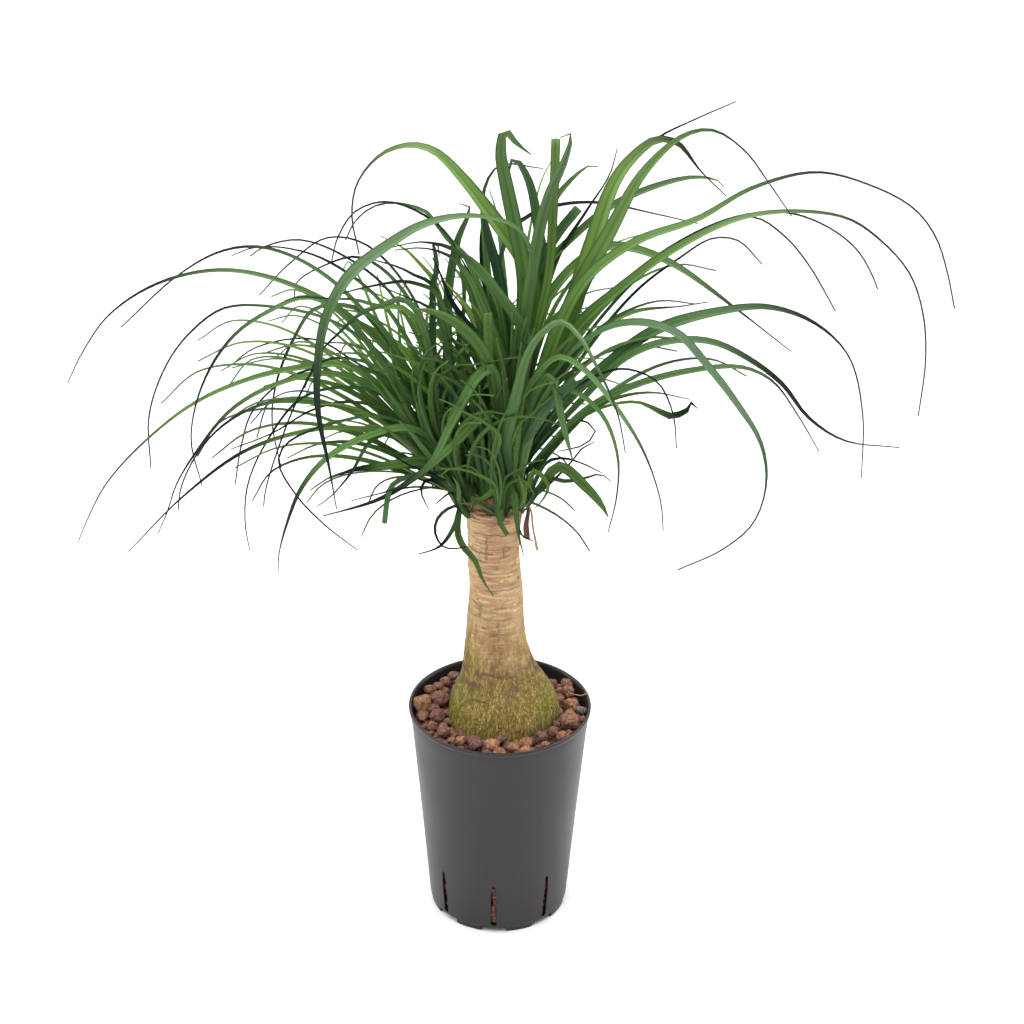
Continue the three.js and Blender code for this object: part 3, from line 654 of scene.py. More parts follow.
def filler_stones():
    """Smaller pebbles, a little lower, that fill what the others leave."""
    stones = []
    for index in range(FILLER_PEBBLES):
        radius = mix(*FILLER_RADII, (index / FILLER_PEBBLES) ** 0.5)
        reach = math.sqrt(mix(FILLER_INNER ** 2, (POT_INSIDE - radius) ** 2, spread(index, 21)))
        angle = 2 * math.pi * spread(index, 22)
        height = BED_LEVEL - 5 + 6 * spread(index, 23)
        stones.append((round_middle(reach, angle, height), radius, spread(index, 24)))
    return stones


def keep_clear(candidates, kept, apart):
    """Adds the candidates that don't sink too far into a pebble that is already there."""
    for place, radius, tone in candidates:
        if all(np.linalg.norm(place - other) > apart * (radius + size) for other, size, _ in kept):
            kept.append((place, radius, tone))
    return kept


bed_stones = keep_clear(seen_stones(), [], SEEN_APART)
bed_stones = keep_clear(frame_stones(), bed_stones, FRAME_APART)
bed_stones = keep_clear(filler_stones(), bed_stones, FILLER_APART)
print("pebbles on top:", len(bed_stones))


# %% The shape of a pebble
def unit_ball(subdivisions):
    ball = bmesh.new()
    bmesh.ops.create_icosphere(ball, subdivisions=subdivisions, radius=1)
    points = np.array([tuple(vertex.co) for vertex in ball.verts])
    faces = [tuple(vertex.index for vertex in face.verts) for face in ball.faces]
    ball.free()
    return points, faces


FINE_BALL = unit_ball(4)
PLAIN_BALL = unit_ball(3)
FLATS = 11
# How far from the middle a flat lies, as a share of the radius, and how flat it is
FLAT_PLACES = (0.66, 0.92)
FLATNESS = 0.88
# Waves across a ball and the height of the lumps they make, as a share of the radius
LUMPS = ((3.0, 0.05), (6.5, 0.035), (12.0, 0.028), (20.0, 0.022))
# Least and most stretch along each axis
STRETCHES = ((1.02, 0.94, 0.8), (1.24, 1.06, 0.98))
# About one turn, in radians
ROUND_TURN = 6.28
MOST_LEAN = 0.7


def pebble(place, radius, seed, ball):
    """A ball with flats pressed into it, a lumpy skin and a turn of its own."""
    draw = np.random.default_rng(seed)
    points = ball[0].copy()
    for _ in range(FLATS):
        way = draw.normal(size=3)
        way /= np.linalg.norm(way)
        beyond = np.maximum(0, points @ way - draw.uniform(*FLAT_PLACES))
        points -= FLATNESS * beyond[:, None] * way
    for size, height in LUMPS:
        waves = draw.normal(size=(4, 3)) * size
        phases = draw.uniform(0, ROUND_TURN, size=4)
        swell = np.sin(ball[0] @ waves.T + phases).mean(axis=1)
        points *= (1 + 2 * height * swell)[:, None]
    stretch = draw.uniform(*STRETCHES)
    about = Matrix.Rotation(draw.uniform(0, ROUND_TURN), 3, "Z")
    leaning = Matrix.Rotation(draw.uniform(0, MOST_LEAN), 3, "X")
    return (points * stretch * radius) @ np.array(about @ leaning).T + place, ball[1]


def pebble_piece(name, stones, first_seed, fine_from):
    """One piece of all the pebbles. Those above a radius get the ball with more faces."""
    shapes = []
    tones = []
    for index, (place, radius, tone) in enumerate(stones):
        ball = FINE_BALL if radius > fine_from else PLAIN_BALL
        points, faces = pebble(place, radius, first_seed + index, ball)
        shapes.append((list(points), faces))
        tones.extend([tone] * len(points))
    points, faces = gather(shapes)
    piece = add_piece(name, points, faces, fired_clay, "clay_pebbles")
    add_values(piece, "tone", tones)
    print(name, "has", len(stones), "pebbles and", len(faces), "faces")


pebble_piece("top_pebbles", bed_stones, first_seed=100, fine_from=4.4)

# %% Pebbles behind the slots, and the bed below
SLOT_PEBBLES = 11
SLOT_PEBBLE_RADII = (2.2, 3.8)
SLOT_PEBBLE_LEVELS = (8.5, 50)
SLOT_PEBBLE_GAP = 0.8
BED_UNDER = 177.0
ROUND_SEGMENTS = 96


def slot_stones():
    """Small dark pebbles in a column behind each slot, clear of the wall."""
    stones = []
    for slot, turned in enumerate(slot_turns):
        for index in range(SLOT_PEBBLES):
            number = slot * SLOT_PEBBLES + index
            radius = mix(*SLOT_PEBBLE_RADII, spread(number, 31))
            height = mix(*SLOT_PEBBLE_LEVELS, (index + 0.3 * spread(number, 32)) / SLOT_PEBBLES)
            reach = wall_radius(height) - POT_WALL - SLOT_PEBBLE_GAP - radius
            angle = turned - math.pi / 2 + math.radians(3.5) * (spread(number, 33) - 0.5)
            stones.append((round_middle(reach, angle, height), radius, 0.45 * spread(number, 34)))
    return stones


pebble_piece("slot_pebbles", slot_stones(), first_seed=900, fine_from=9.0)

# The bed stands back from the slots' pebbles and comes close to the wall above them
bed_outline = [
    (0, BASE_LEVEL + POT_FLOOR + 0.4),
    (wall_radius(10) - 8, BASE_LEVEL + POT_FLOOR + 0.4),
    (wall_radius(50) - 7, 50),
    (wall_radius(54) - POT_WALL - 0.4, 54),
    (wall_radius(175) - POT_WALL - 0.6, BED_UNDER),
    (0, BED_UNDER),
]
points, faces = lathe(soften(bed_outline, 1.5), ROUND_SEGMENTS)
pebble_bed = add_piece("pebble_bed", points, faces, fired_clay, "clay_pebbles")
add_values(pebble_bed, "tone", [0.0] * len(points))
print("bed under the pebbles:", len(points), "points")

# %% [markdown]
# ## The trunk
# A ponytail palm stores water in its base, which swells like a bulb. Higher up, each leaf that
# fell has left a thin ring. The trunk could be a tapered cylinder with a bump texture, but rings
# and cracks also show in its outline, so they are moved into the mesh: a fine grid of rows
# and columns, pushed in and out by a formula that also tells the material where the grooves are.
# The net of hair cracks on the bulb is too fine for that, so it stays in the material.

# %% Bark material
bark, tree, surface = new_material("ringed bark", 0.82)
surface.inputs["Specular IOR Level"].default_value = 0.2
place = object_place(tree)
axes = add_node(tree, "ShaderNodeSeparateXYZ", {"Vector": place})
wander = grain(tree, place, (70.0, 70.0, 40.0), 4.0, 0.2, 0.8)
lifted = calculate(tree, "MULTIPLY", calculate(tree, "SUBTRACT", wander, 0.5), 0.022)
level = calculate(tree, "ADD", axes.outputs["Z"], lifted)

# Upper part: tan with pinkish blotches, painted lighter at its left and right sides as side light, and
# fine pale and dark lines that run round
pink = grain(tree, place, (32.0, 32.0, 60.0), 3.0, 0.4, 0.62)
tan = blend_colors(tree, pink, (0.53, 0.35, 0.17, 1), (0.53, 0.275, 0.16, 1))
# Painted light: the trunk's left and right sides, as the camera sees them, turn a lighter yellow tan.
side_light_distance = calculate(tree, "ABSOLUTE", calculate(tree, "ADD", axes.outputs["X"], 0.005))
tan = tint(tree, tan, fade(tree, side_light_distance, 0.006, 0.02), 0.65, (0.58, 0.41, 0.2))
pale = grain(tree, place, (75.0, 75.0, 520.0), 5.0, 0.5, 0.64)
paler = tint(tree, tan, pale, 0.75, (0.74, 0.55, 0.33))
line = grain(tree, place, (95.0, 95.0, 800.0), 4.0, 0.54, 0.68)
ringed = tint(tree, paler, line, 0.5, (0.24, 0.115, 0.055))
split = grain(tree, place, (620.0, 620.0, 150.0), 3.0, 0.6, 0.72)
ringed = tint(tree, ringed, split, 0.45, (0.24, 0.13, 0.06))

# Lower part: olive, greener at the sides, broken into small plates by a net of fine cracks
aside = calculate(tree, "ABSOLUTE", calculate(tree, "SUBTRACT", axes.outputs["X"], 0.003))
cloud = grain(tree, place, (45.0, 45.0, 30.0), 4.0, 0.3, 0.7)
green_cloud = calculate(tree, "MULTIPLY", cloud, 0.35)
green_share = calculate(tree, "ADD", fade(tree, aside, 0.014, 0.044), green_cloud)
olive = blend_colors(tree, green_share, (0.31, 0.215, 0.055, 1), (0.19, 0.185, 0.02, 1))
net_place = stretch_place(tree, place, (560.0, 560.0, 95.0))
plates = add_node(tree, "ShaderNodeTexVoronoi", {"Vector": net_place, "Scale": 1.0})
plate_tone = add_node(tree, "ShaderNodeSeparateColor", {"Color": plates.outputs["Color"]}).outputs[0]
inputs = {"Vector": net_place, "Scale": 1.0}
net = add_node(tree, "ShaderNodeTexVoronoi", inputs, feature="DISTANCE_TO_EDGE")
gap = calculate(tree, "SUBTRACT", 1.0, fade(tree, net.outputs["Distance"], 0.02, 0.2))
light_plate = fade(tree, plate_tone, 0.5, 0.9)
plated = tint(tree, olive, light_plate, 0.5, (0.54, 0.4, 0.16))
streak = grain(tree, place, (300.0, 300.0, 60.0), 5.0, 0.5, 0.6)
streaked = tint(tree, plated, streak, 0.55, (0.52, 0.4, 0.13))
netted = tint(tree, streaked, gap, 0.62, (0.12, 0.075, 0.022))
below_band = fade(tree, level, 0.212, 0.226)
above_band = calculate(tree, "SUBTRACT", 1.0, fade(tree, level, 0.236, 0.254))
band = calculate(tree, "MULTIPLY", below_band, above_band)
patch = grain(tree, place, (110.0, 110.0, 150.0), 4.0, 0.42, 0.58)
bruised = tint(tree, netted, calculate(tree, "MULTIPLY", band, patch), 0.75, (0.13, 0.07, 0.05))

# The two parts meet in a ragged zone, where tan bark shows between olive plates
plate_rise = calculate(tree, "MULTIPLY", plate_tone, 0.028)
side_fall = calculate(tree, "MULTIPLY", fade(tree, aside, 0.012, 0.03), 0.024)
zone_level = calculate(tree, "SUBTRACT", calculate(tree, "ADD", level, plate_rise), side_fall)
upper = fade(tree, zone_level, 0.222, 0.315)
zoned = blend_colors(tree, upper, bruised, ringed)
groove = attribute(tree, "groove")
lip_and_highlight = attribute(tree, "lip_and_highlight")
# Painted highlight: the raised lip below each ring is painted pale, as if it caught light from above.
lip_highlighted = tint(tree, zoned, lip_and_highlight, 0.7, (0.78, 0.62, 0.42))
lined = tint(tree, lip_highlighted, groove, 0.8, (0.13, 0.06, 0.028))
scar = calculate(tree, "MULTIPLY", specks(tree, place, (150.0, 150.0, 260.0), 0.6, 0.08), upper)
scarred = tint(tree, lined, scar, 0.75, (0.12, 0.055, 0.032))
flake = calculate(tree, "MULTIPLY", specks(tree, place, (170.0, 170.0, 330.0), 0.6, 0.1), upper)
flaked = tint(tree, scarred, flake, 0.75, (0.8, 0.62, 0.38))
tree.links.new(flaked, surface.inputs["Base Color"])
fibre = grain(tree, place, (700.0, 700.0, 420.0), 5.0, 0.25, 0.75)
below = calculate(tree, "SUBTRACT", 1.0, upper)
net_relief = calculate(tree, "MULTIPLY", calculate(tree, "SUBTRACT", 1.0, gap), below)
line_relief = calculate(tree, "MULTIPLY", calculate(tree, "SUBTRACT", 1.0, line), upper)
relief = calculate(tree, "ADD", fibre, calculate(tree, "ADD", net_relief, line_relief))
add_bump(tree, surface, 0.75, 0.0012, relief)
print("material made:", bark.name)

# %% Trunk surface
# Height, radius and sideways shift of the middle, in millimetres, as in the fixed model.
TRUNK_STATIONS = [
    (112, 15, 1), (120, 24, 1), (132, 33, 1.5), (148, 40.5, 2), (163, 44.5, 2.5), (178, 45.6, 2.9),
    (192, 44.6, 3.6), (202, 41.5, 3.4), (211, 37.2, 2.6), (220, 32.8, 0.8), (229, 29.6, -1.1),
    (241, 27, -2.6), (254, 24.9, -3.7), (278, 23, -4.3), (301, 21.3, -4.2), (326, 20.7, -5.6),
    (350, 21.1, -6), (366, 22, -6), (378, 24, -5.6),
]
TRUNK_COLUMNS = 144
TRUNK_ROWS = 330
RING_FIRST = 238.0
RING_LAST = 374.0
# Relief in millimetres: broad lumps, cracks, what the bulb adds to them, fine grain and pale lips
LUMP_HEIGHT = 0.7
CRACK_HEIGHT = 0.25
BULB_CRACK_HEIGHT = 0.45
GRAIN_HEIGHT = 0.22
LIP_HEIGHT = 0.6
# The bulb's part starts at this height and is full this much lower
BULB_TOP = 262
BULB_CHANGE = 40
# Height, groove and pale lip of the rings that stand out, from 0 to 1; the lip's pale colour is a
# painted highlight, as if it caught light from above
STRONG_RINGS = [
    (372, 0.6, 0.4), (360, 0.9, 0.7), (344, 1.0, 0.6), (337, 0.3, 1.0), (324, 0.35, 0.9),
    (310, 0.7, 0.6), (294, 0.9, 0.3), (283, 0.5, 0.4), (270, 0.6, 0.3), (252, 0.5, 0.2),
]
# Height, turn and half width in degrees of the level cracks
LEVEL_CRACKS = [(212, 241, 13), (234, 262, 22), (232, 292, 12)]
# Turn in degrees, foot and top of the upright cracks
UPRIGHT_CRACKS = [(255, 335, 362), (292, 338, 352), (276, 262, 284), (236, 280, 300)]


def smooth_route(points, rows):
    """Evenly spaced points along a smooth curve through the given points."""
    points = np.asarray(points, float)
    padded = np.vstack([2 * points[0] - points[1], points, 2 * points[-1] - points[-2]])
    share = np.linspace(0, 1, 17)[:-1, None]
    samples = []
    for index in range(len(points) - 1):
        before, start, end, after = padded[index:index + 4]
        gap_before = np.linalg.norm(start - before) ** 0.5
        gap = np.linalg.norm(end - start) ** 0.5
        gap_after = np.linalg.norm(after - end) ** 0.5
        leave = (start - before) / gap_before - (end - before) / (gap_before + gap) + (end - start) / gap
        arrive = (end - start) / gap - (after - start) / (gap + gap_after) + (after - end) / gap_after
        leave = leave * gap
        arrive = arrive * gap
        square = -3 * start + 3 * end - 2 * leave - arrive
        cube = 2 * start - 2 * end + leave + arrive
        samples.append(start + leave * share + square * share ** 2 + cube * share ** 3)
    curve = np.vstack(samples + [points[-1:]])
    steps = np.linalg.norm(np.diff(curve, axis=0), axis=1)
    run = np.concatenate([[0], np.cumsum(steps)])
    places = np.linspace(0, run[-1], rows)
    return np.column_stack([np.interp(places, run, curve[:, axis]) for axis in range(curve.shape[1])])


def ring_heights():
    heights = []
    height = RING_FIRST
    while height < RING_LAST:
        heights.append(height)
        height += mix(2.6, 6.4, spread(len(heights), 41))
    return heights


def groove_depth(heights, angles):
    """Grooves and the raised lips below them, whose pale colour is a painted highlight, from 0 to 1, on
    the grid of heights and angles.
    """
    depth = np.zeros((len(heights), len(angles)))
    lip_and_highlight = np.zeros_like(depth)
    rings = [(height, 0.08 + 0.4 * spread(height, 44) ** 3, 0.4, 0.4) for height in ring_heights()]
    rings += [(height, groove, pale, 0.95) for height, groove, pale in STRONG_RINGS]
    for index, (middle, force, pale, steady) in enumerate(rings):
        phase = ROUND_TURN * spread(index, 42)
        path = middle + 1.1 * np.sin(angles + phase) + 0.7 * np.sin(3 * angles + 2 * phase)
        path = path + 0.35 * np.sin(11 * angles + 5 * phase)
        strength = steady + 0.5 * np.sin(2 * angles + 3 * phase) + 0.25 * np.sin(7 * angles + phase)
        strength = np.clip(strength, 0.05, 1) * min(1, 0.15 + (middle - RING_FIRST) / 45)
        width = mix(0.4, 0.75, spread(index, 43))
        above = heights[:, None] - path[None, :]
        depth = np.maximum(depth, force * strength * np.exp(-(above / width) ** 2))
        # The lip shows along part of each ring; it is raised in the mesh and painted pale as a
        # highlight.
        lip_reach = np.clip(np.sin(angles + 7 * phase) + steady - 0.6, 0, 1) * strength
        lip_and_highlight = np.maximum(lip_and_highlight, lip_reach * pale * np.exp(-((above + 1.5) / 0.9) ** 2))
    for middle, turned, half_width in LEVEL_CRACKS:
        near = np.exp(-((np.degrees(angles) - turned) / half_width) ** 4)
        above = heights[:, None] - middle - 0.5 * np.sin(9 * angles)[None, :]
        depth = np.maximum(depth, near * np.exp(-(above / 0.6) ** 2))
    for turned, foot, top in UPRIGHT_CRACKS:
        wander = turned + 1.2 * np.sin(heights * 0.9) + 0.8 * np.sin(heights * 2.3)
        aside = (np.degrees(angles)[None, :] - wander[:, None]) / 1.7
        reach = soft_step(heights, foot, foot + 5) * (1 - soft_step(heights, top - 5, top))
        depth = np.maximum(depth, 0.8 * reach[:, None] * np.exp(-aside ** 2))
    return depth, lip_and_highlight


stations = smooth_route(TRUNK_STATIONS, TRUNK_ROWS)
heights = stations[:, 0]
angles = np.linspace(0, 2 * math.pi, TRUNK_COLUMNS, endpoint=False)
grooves, lips_and_highlights = groove_depth(heights, angles)
rough = np.zeros_like(grooves)
for row, height in enumerate(heights):
    for column, angle in enumerate(angles):
        way = Vector((math.cos(angle), math.sin(angle), 0))
        lump = noise.noise(way * 1.6 + Vector((0, 0, height / 34)))
        cracks = noise.noise(way * 13 + Vector((0, 0, height / 15)))
        tiny = noise.noise(way * 26 + Vector((0, 0, height / 3.2)))
        bulb_share = min(1, max(0, (BULB_TOP - height) / BULB_CHANGE))
        crack_height = CRACK_HEIGHT + BULB_CRACK_HEIGHT * bulb_share
        rough[row, column] = LUMP_HEIGHT * lump + crack_height * cracks + GRAIN_HEIGHT * tiny
radii = stations[:, 1][:, None] + rough - grooves + LIP_HEIGHT * lips_and_highlights
x = stations[:, 2][:, None] + radii * np.cos(angles)[None, :]
y = radii * np.sin(angles)[None, :]
z = np.repeat(heights[:, None], TRUNK_COLUMNS, axis=1)
points = np.stack([x, y, z], axis=2).reshape(-1, 3)
print("trunk grid:", TRUNK_ROWS, "rows of", TRUNK_COLUMNS, "points")


# %% Trunk and roots
# No tube of this lesson runs along this way, so the first side can be measured from it
CROSSWAYS = np.array([0.3, 0.9, 0.2])


def tube(route, radii, sides):
    """A closed tube along evenly spaced points, with a radius at each of them."""
    middle = np.asarray(route, float)
    along = np.gradient(middle, axis=0)
    along /= np.linalg.norm(along, axis=1)[:, None]
    side = np.cross(along, CROSSWAYS)
    side /= np.linalg.norm(side, axis=1)[:, None]
    other = np.cross(along, side)
    points = []
    for row in range(len(middle)):
        for step in range(sides):
            angle = 2 * math.pi * step / sides
            way = side[row] * math.cos(angle) + other[row] * math.sin(angle)
            points.append(tuple(middle[row] + radii[row] * way))
    return points, ring_faces(len(middle), sides)


trunk_faces = ring_faces(TRUNK_ROWS, TRUNK_COLUMNS)
trunk_bark = add_piece("trunk_bark", points, trunk_faces, bark, "trunk")
add_values(trunk_bark, "groove", grooves.reshape(-1))
add_values(trunk_bark, "lip_and_highlight", lips_and_highlights.reshape(-1))

# Turn in degrees, reach outward and length of each thick root
ROOTS = [(20, 26, 86), (95, 22, 74), (160, 30, 90), (235, 24, 80), (305, 30, 70)]
ROOT_START = 126.0
ROOT_RADIUS = 5.3
ROOT_THINNING = 3.9
ROOT_ROWS = 14
ROOT_SIDES = 14


def root_shape(turned, reach, length):
    angle = math.radians(turned)
    shares = np.linspace(0, 1, ROOT_ROWS)
    out = 6 + reach * np.sqrt(shares)
    wave = 1.2 * np.sin(shares * 9 + turned)
    route = np.column_stack([
        out * math.cos(angle) - wave * math.sin(angle),
        out * math.sin(angle) + wave * math.cos(angle),
        ROOT_START - length * shares,
    ])
    return tube(route, ROOT_RADIUS - ROOT_THINNING * shares, ROOT_SIDES)


roots = tool_object(*gather(root_shape(*root) for root in ROOTS))
combine(trunk_bark, roots, "UNION")
print("trunk with its roots:", len(trunk_bark.data.polygons), "faces")

# %% [markdown]
# ## The leaves
# A leaf here is a long strap folded along its middle like a gutter, broad near its root and as
# thin as a thread at its tip. A flat ribbon with a transparent picture is the usual shortcut, but it
# has no thickness and no gutter. Each leaf is a thin closed strip instead, swept along a
# smooth curve. The long ones follow the routes that the photograph shows, and the inner ones
# follow the spiral in which a palm sets its leaves.

# %% Leaf material
living_leaf, tree, surface = new_material("living leaf", 0.45)
tone = attribute(tree, "tone")
reach = attribute(tree, "reach")
under = attribute(tree, "under")
lines, midrib, margin = leaf_lines(tree, 9.0)
green = color_ramp(tree, tone, [
    (0.0, (0.18, 0.3, 0.045)),
    (0.3, (0.112, 0.22, 0.042)),
    (0.65, (0.066, 0.148, 0.048)),
    (1.0, (0.027, 0.065, 0.042)),
])
lined = tint(tree, green, lines, 0.28, (0.13, 0.25, 0.06))
dark_rib = tint(tree, lined, midrib, 0.4, (0.02, 0.065, 0.012))
edged = tint(tree, dark_rib, margin, 0.6, (0.014, 0.04, 0.016))
# Painted shade: each leaf is darkened over its first 10 cm from the root, except the brightest-toned
# ones, for the shade deep in the crown.
shade_near_root = calculate(tree, "SUBTRACT", 1.0, fade(tree, reach, 0.01, 0.1))
painted_root_shade = calculate(tree, "MULTIPLY", shade_near_root, fade(tree, tone, 0.0, 0.4))
root_shaded = tint(tree, edged, painted_root_shade, 0.6, (0.022, 0.047, 0.017))
backed = tint(tree, root_shaded, under, 0.45, (0.045, 0.1, 0.05))
dark = attribute(tree, "dark")
darkened = blend_colors(tree, dark, backed, (0.008, 0.011, 0.011, 1))
dried_end = blend_colors(tree, attribute(tree, "dry"), darkened, (0.17, 0.11, 0.05, 1))
arched = calculate(tree, "ADD", calculate(tree, "MULTIPLY", fade(tree, reach, 0.13, 0.3), 0.38), 0.08)
gloss = calculate(tree, "MULTIPLY", arched, calculate(tree, "SUBTRACT", 1.15, dark))
tree.links.new(gloss, surface.inputs["Specular IOR Level"])
tree.links.new(dried_end, surface.inputs["Base Color"])
add_bump(tree, surface, 0.35, 0.0003, lines)
print("material made:", living_leaf.name)


# %% The shape of a leaf
LEAF_THICKNESS = 0.45
RIB_THICKNESS = 0.75
# A leaf is never narrower than a thread, which gets thinner toward its end
THREAD_WIDTH = 1.5
THREAD_END = 0.8
THREAD_THICKNESS = 1.0
LEAF_FOLD = 0.5
# A leaf that turns its edge to the eye is widened, as if this share of it still showed
LEAST_SEEN = 0.74
ROW_SPACING = 8.0
LEAST_ROWS = 14
MOST_ROWS = 60
# Places round a section: across its upper side from edge to edge, and back below
ACROSS = np.array([-1, -0.55, 0, 0.55, 1, 0.55, 0, -0.55])
UNDER = np.array([0, 0, 0, 0, 0, 1, 1, 1])
RING = len(ACROSS)
# Share of the width kept at the root, where widening starts and ends, and how the tip narrows:
# a high first power keeps the width for longer, a high second one draws the tip out
FORMS = {
    "early": (0.5, 0, 0.2, 0.7, 1),
    "swept": (0.5, 0, 0.2, 1.2, 2),
    "drawn": (0.4, 0, 0.45, 2.4, 3),
    "pointed": (0.45, 0, 0.3, 1.4, 1),
    "late": (0.45, 0, 0.35, 2.2, 1),
    "bowed": (0.45, 0, 0.35, 4, 2),
    "fine": (0.45, 0, 0.35, 3, 3),
    "arching": (0.34, 0.28, 0.66, 3, 3),
    "hanging": (0.3, 0.45, 0.64, 3, 1),
    "curled": (0.35, 0.7, 0.85, 9, 1),
    "broad": (0.45, 0, 0.4, 7, 1),
    "blunt": (0.45, 0, 0.7, 1, 1),
}
# Share of its length from which a leaf darkens toward its tip, for a narrow and a wide leaf, and
# the share that the change takes
DARK_SHARES = (0.3, 0.47)
DARK_CHANGE = 0.23
# Leaves of these forms stay green to this share of their length
GREEN_ARCS = ("early", "bowed", "fine", "arching", "hanging", "curled")
GREEN_SHARE = 0.64
# The leaves of this head darken later, by this share
LATER = {"left": 0.08}
# What a leaf has unless it says otherwise
PLAIN_LEAF = {"roll": 0, "facing": 0, "twist": 0, "dark_end": 0, "later": 0, "dry_end": 0}


def unit_rows(vectors):
    return vectors / np.linalg.norm(vectors, axis=1)[:, None]


def taper(share, form):
    """How much of its width a leaf keeps. A blunt leaf is one that was cut off short."""
    root, low, high, power, fineness = FORMS[form]
    clasped = mix(root, 1, np.clip((share - low) / (high - low), 0, 1))
    return clasped * (1 - 0.2 * share if form == "blunt" else (1 - share ** power) ** fineness)


def open_side(middle, along, side):
    """The way across a leaf that lets the eye see its full width."""
    across = unit_rows(np.cross(along, middle - EYE))
    for row in range(1, len(across)):
        if across[row] @ across[row - 1] < 0:
            across[row:] *= -1
    return across * (1 if (across * side).sum() > 0 else -1)


def leaf_side(middle, along, roll, facing, wave):
    """The way across a leaf: level, then turned partly to the eye, then rolled."""
    heading = middle[-1] - middle[0]
    level = np.array([-heading[1], heading[0], 0])
    level /= max(1e-6, np.linalg.norm(level))
    side = unit_rows(level - along * (along @ level)[:, None])
    side = side * (1 - facing) + open_side(middle, along, side) * facing
    side = unit_rows(side - along * (side * along).sum(axis=1)[:, None])
    angle = (np.radians(roll) + wave)[:, None]
    return side * np.cos(angle) + np.cross(along, side) * np.sin(angle)


def leaf_shape(leaf):
    """The points of a leaf, and the values that its material reads at each of them."""
    length = np.linalg.norm(np.diff(np.asarray(leaf["route"]), axis=0), axis=1).sum()
    rows = int(np.clip(length / ROW_SPACING, LEAST_ROWS, MOST_ROWS))
    middle = smooth_route(leaf["route"], rows)
    along = unit_rows(np.gradient(middle, axis=0))
    share = np.linspace(0, 1, rows)
    wave = leaf["twist"] * np.sin(share * 5.5 + 9 * leaf["tone"]) * share
    side = leaf_side(middle, along, leaf["roll"], leaf["facing"], wave)
    face = np.cross(along, side)
    hidden = (side * unit_rows(middle - EYE)).sum(axis=1)
    seen = np.maximum(LEAST_SEEN, np.sqrt(1 - hidden ** 2))
    thread = mix(THREAD_WIDTH, THREAD_END, share ** 8)
    half = np.maximum(thread, leaf["width"] * taper(share, leaf["form"]) / seen) / 2
    flat = soft_step(half, 0.7, 2.0)
    body = np.where(np.abs(ACROSS) < 0.1, RIB_THICKNESS, LEAF_THICKNESS)
    body = THREAD_THICKNESS * (1 - flat)[:, None] + body * flat[:, None]
    lift = LEAF_FOLD * (1 - 0.55 * share) * half
    rise = lift[:, None] * (np.abs(ACROSS) ** 1.3 - 0.5) - UNDER * body
    points = middle[:, None, :] + side[:, None, :] * (half[:, None] * ACROSS)[:, :, None]
    points = points + face[:, None, :] * rise[:, :, None]
    dark_from = mix(*DARK_SHARES, soft_step(leaf["width"], 3.0, 7.0)) + leaf["later"]
    if leaf["form"] in GREEN_ARCS:
        dark_from = GREEN_SHARE
    darkness = leaf["dark_end"] * soft_step(share, dark_from, dark_from + DARK_CHANGE)
    values = {
        "reach": np.repeat(share * length * MM, RING),
        "across": np.tile(ACROSS, rows),
        "under": np.tile(UNDER, rows).astype(float),
        "tone": np.full(rows * RING, leaf["tone"]),
        "dark": np.repeat(darkness, RING),
        "dry": np.repeat(leaf["dry_end"] * soft_step(share, 0.93, 0.97), RING),
    }
    return points.reshape(-1, 3), rows, values


def leaf_piece(name, leaves, material, node):
    """One piece of all the leaves, with sharp edges along both margins of each."""
    shapes = []
    values = {"reach": [], "across": [], "under": [], "tone": [], "dark": [], "dry": []}
    for leaf in leaves:
        points, rows, own = leaf_shape(leaf)
        shapes.append((list(points), ring_faces(rows, RING, clockwise=True)))
        for key, numbers in own.items():
            values[key].append(numbers)
    points, faces = gather(shapes)
    piece = add_piece(name, points, faces, material, node)
    for key, numbers in values.items():
        add_values(piece, key, np.concatenate(numbers))
    mesh = piece.data
    at_margin = np.abs(np.concatenate(values["across"])) > 0.9
    ends = np.zeros(2 * len(mesh.edges), dtype=np.int32)
    mesh.edges.foreach_get("vertices", ends)
    ends = ends.reshape(-1, 2)
    sharp = at_margin[ends[:, 0]] & at_margin[ends[:, 1]]
    mesh.attributes.new("sharp_edge", "BOOLEAN", "EDGE").data.foreach_set("value", sharp)
    print(name, "has", len(leaves), "leaves and", len(faces), "faces")


print("a leaf has", RING, "points round each ring")

# %% [markdown]
# ## Where the leaves go
# Each head is a short stem, hidden by the leaf roots wrapped round it. Two leafy heads and three
# small shoots grew from the trunk's cut top. A route is a list of sight points: how far across and
# how high the leaf passes on the upright plane through the pot, as the photograph shows it.
# A leaf then reaches back or forward from that plane to the depth that its row gives.

# %% Heads and routes
# Foot of each head's stem, the way from there to its top, its radius at the foot, and how far
# apart its leaves grow
HEADS = {
    "left": ((-24, 4, 378.3), (-36, 2, 60), 12, 18),
    "main": ((8, 4, 378.3), (0, 3, 80), 13, 21),
    "middle": ((-9, -2, 378.3), (-6, 2, 50), 9, 13),
    "rimLeft": ((-27, -12, 375), (-8, -4, 16), 6, 4),
    "rimFront": ((0, -19, 376), (-1, -9, 14), 7, 4),
    "rimRight": ((12, -8, 376), (14, -4, 20), 6, 4),
}
# Leaves grow out of the stem between these shares of its length
LOW_SHARE = 0.1
HIGH_SHARE = 0.8
# How far off the stem's middle a leaf starts, as a share of the distance apart
ROOT_OUT = 0.5
# Above 1, a leaf keeps near its root's depth for longer
DEPTH_POWER = 1.2

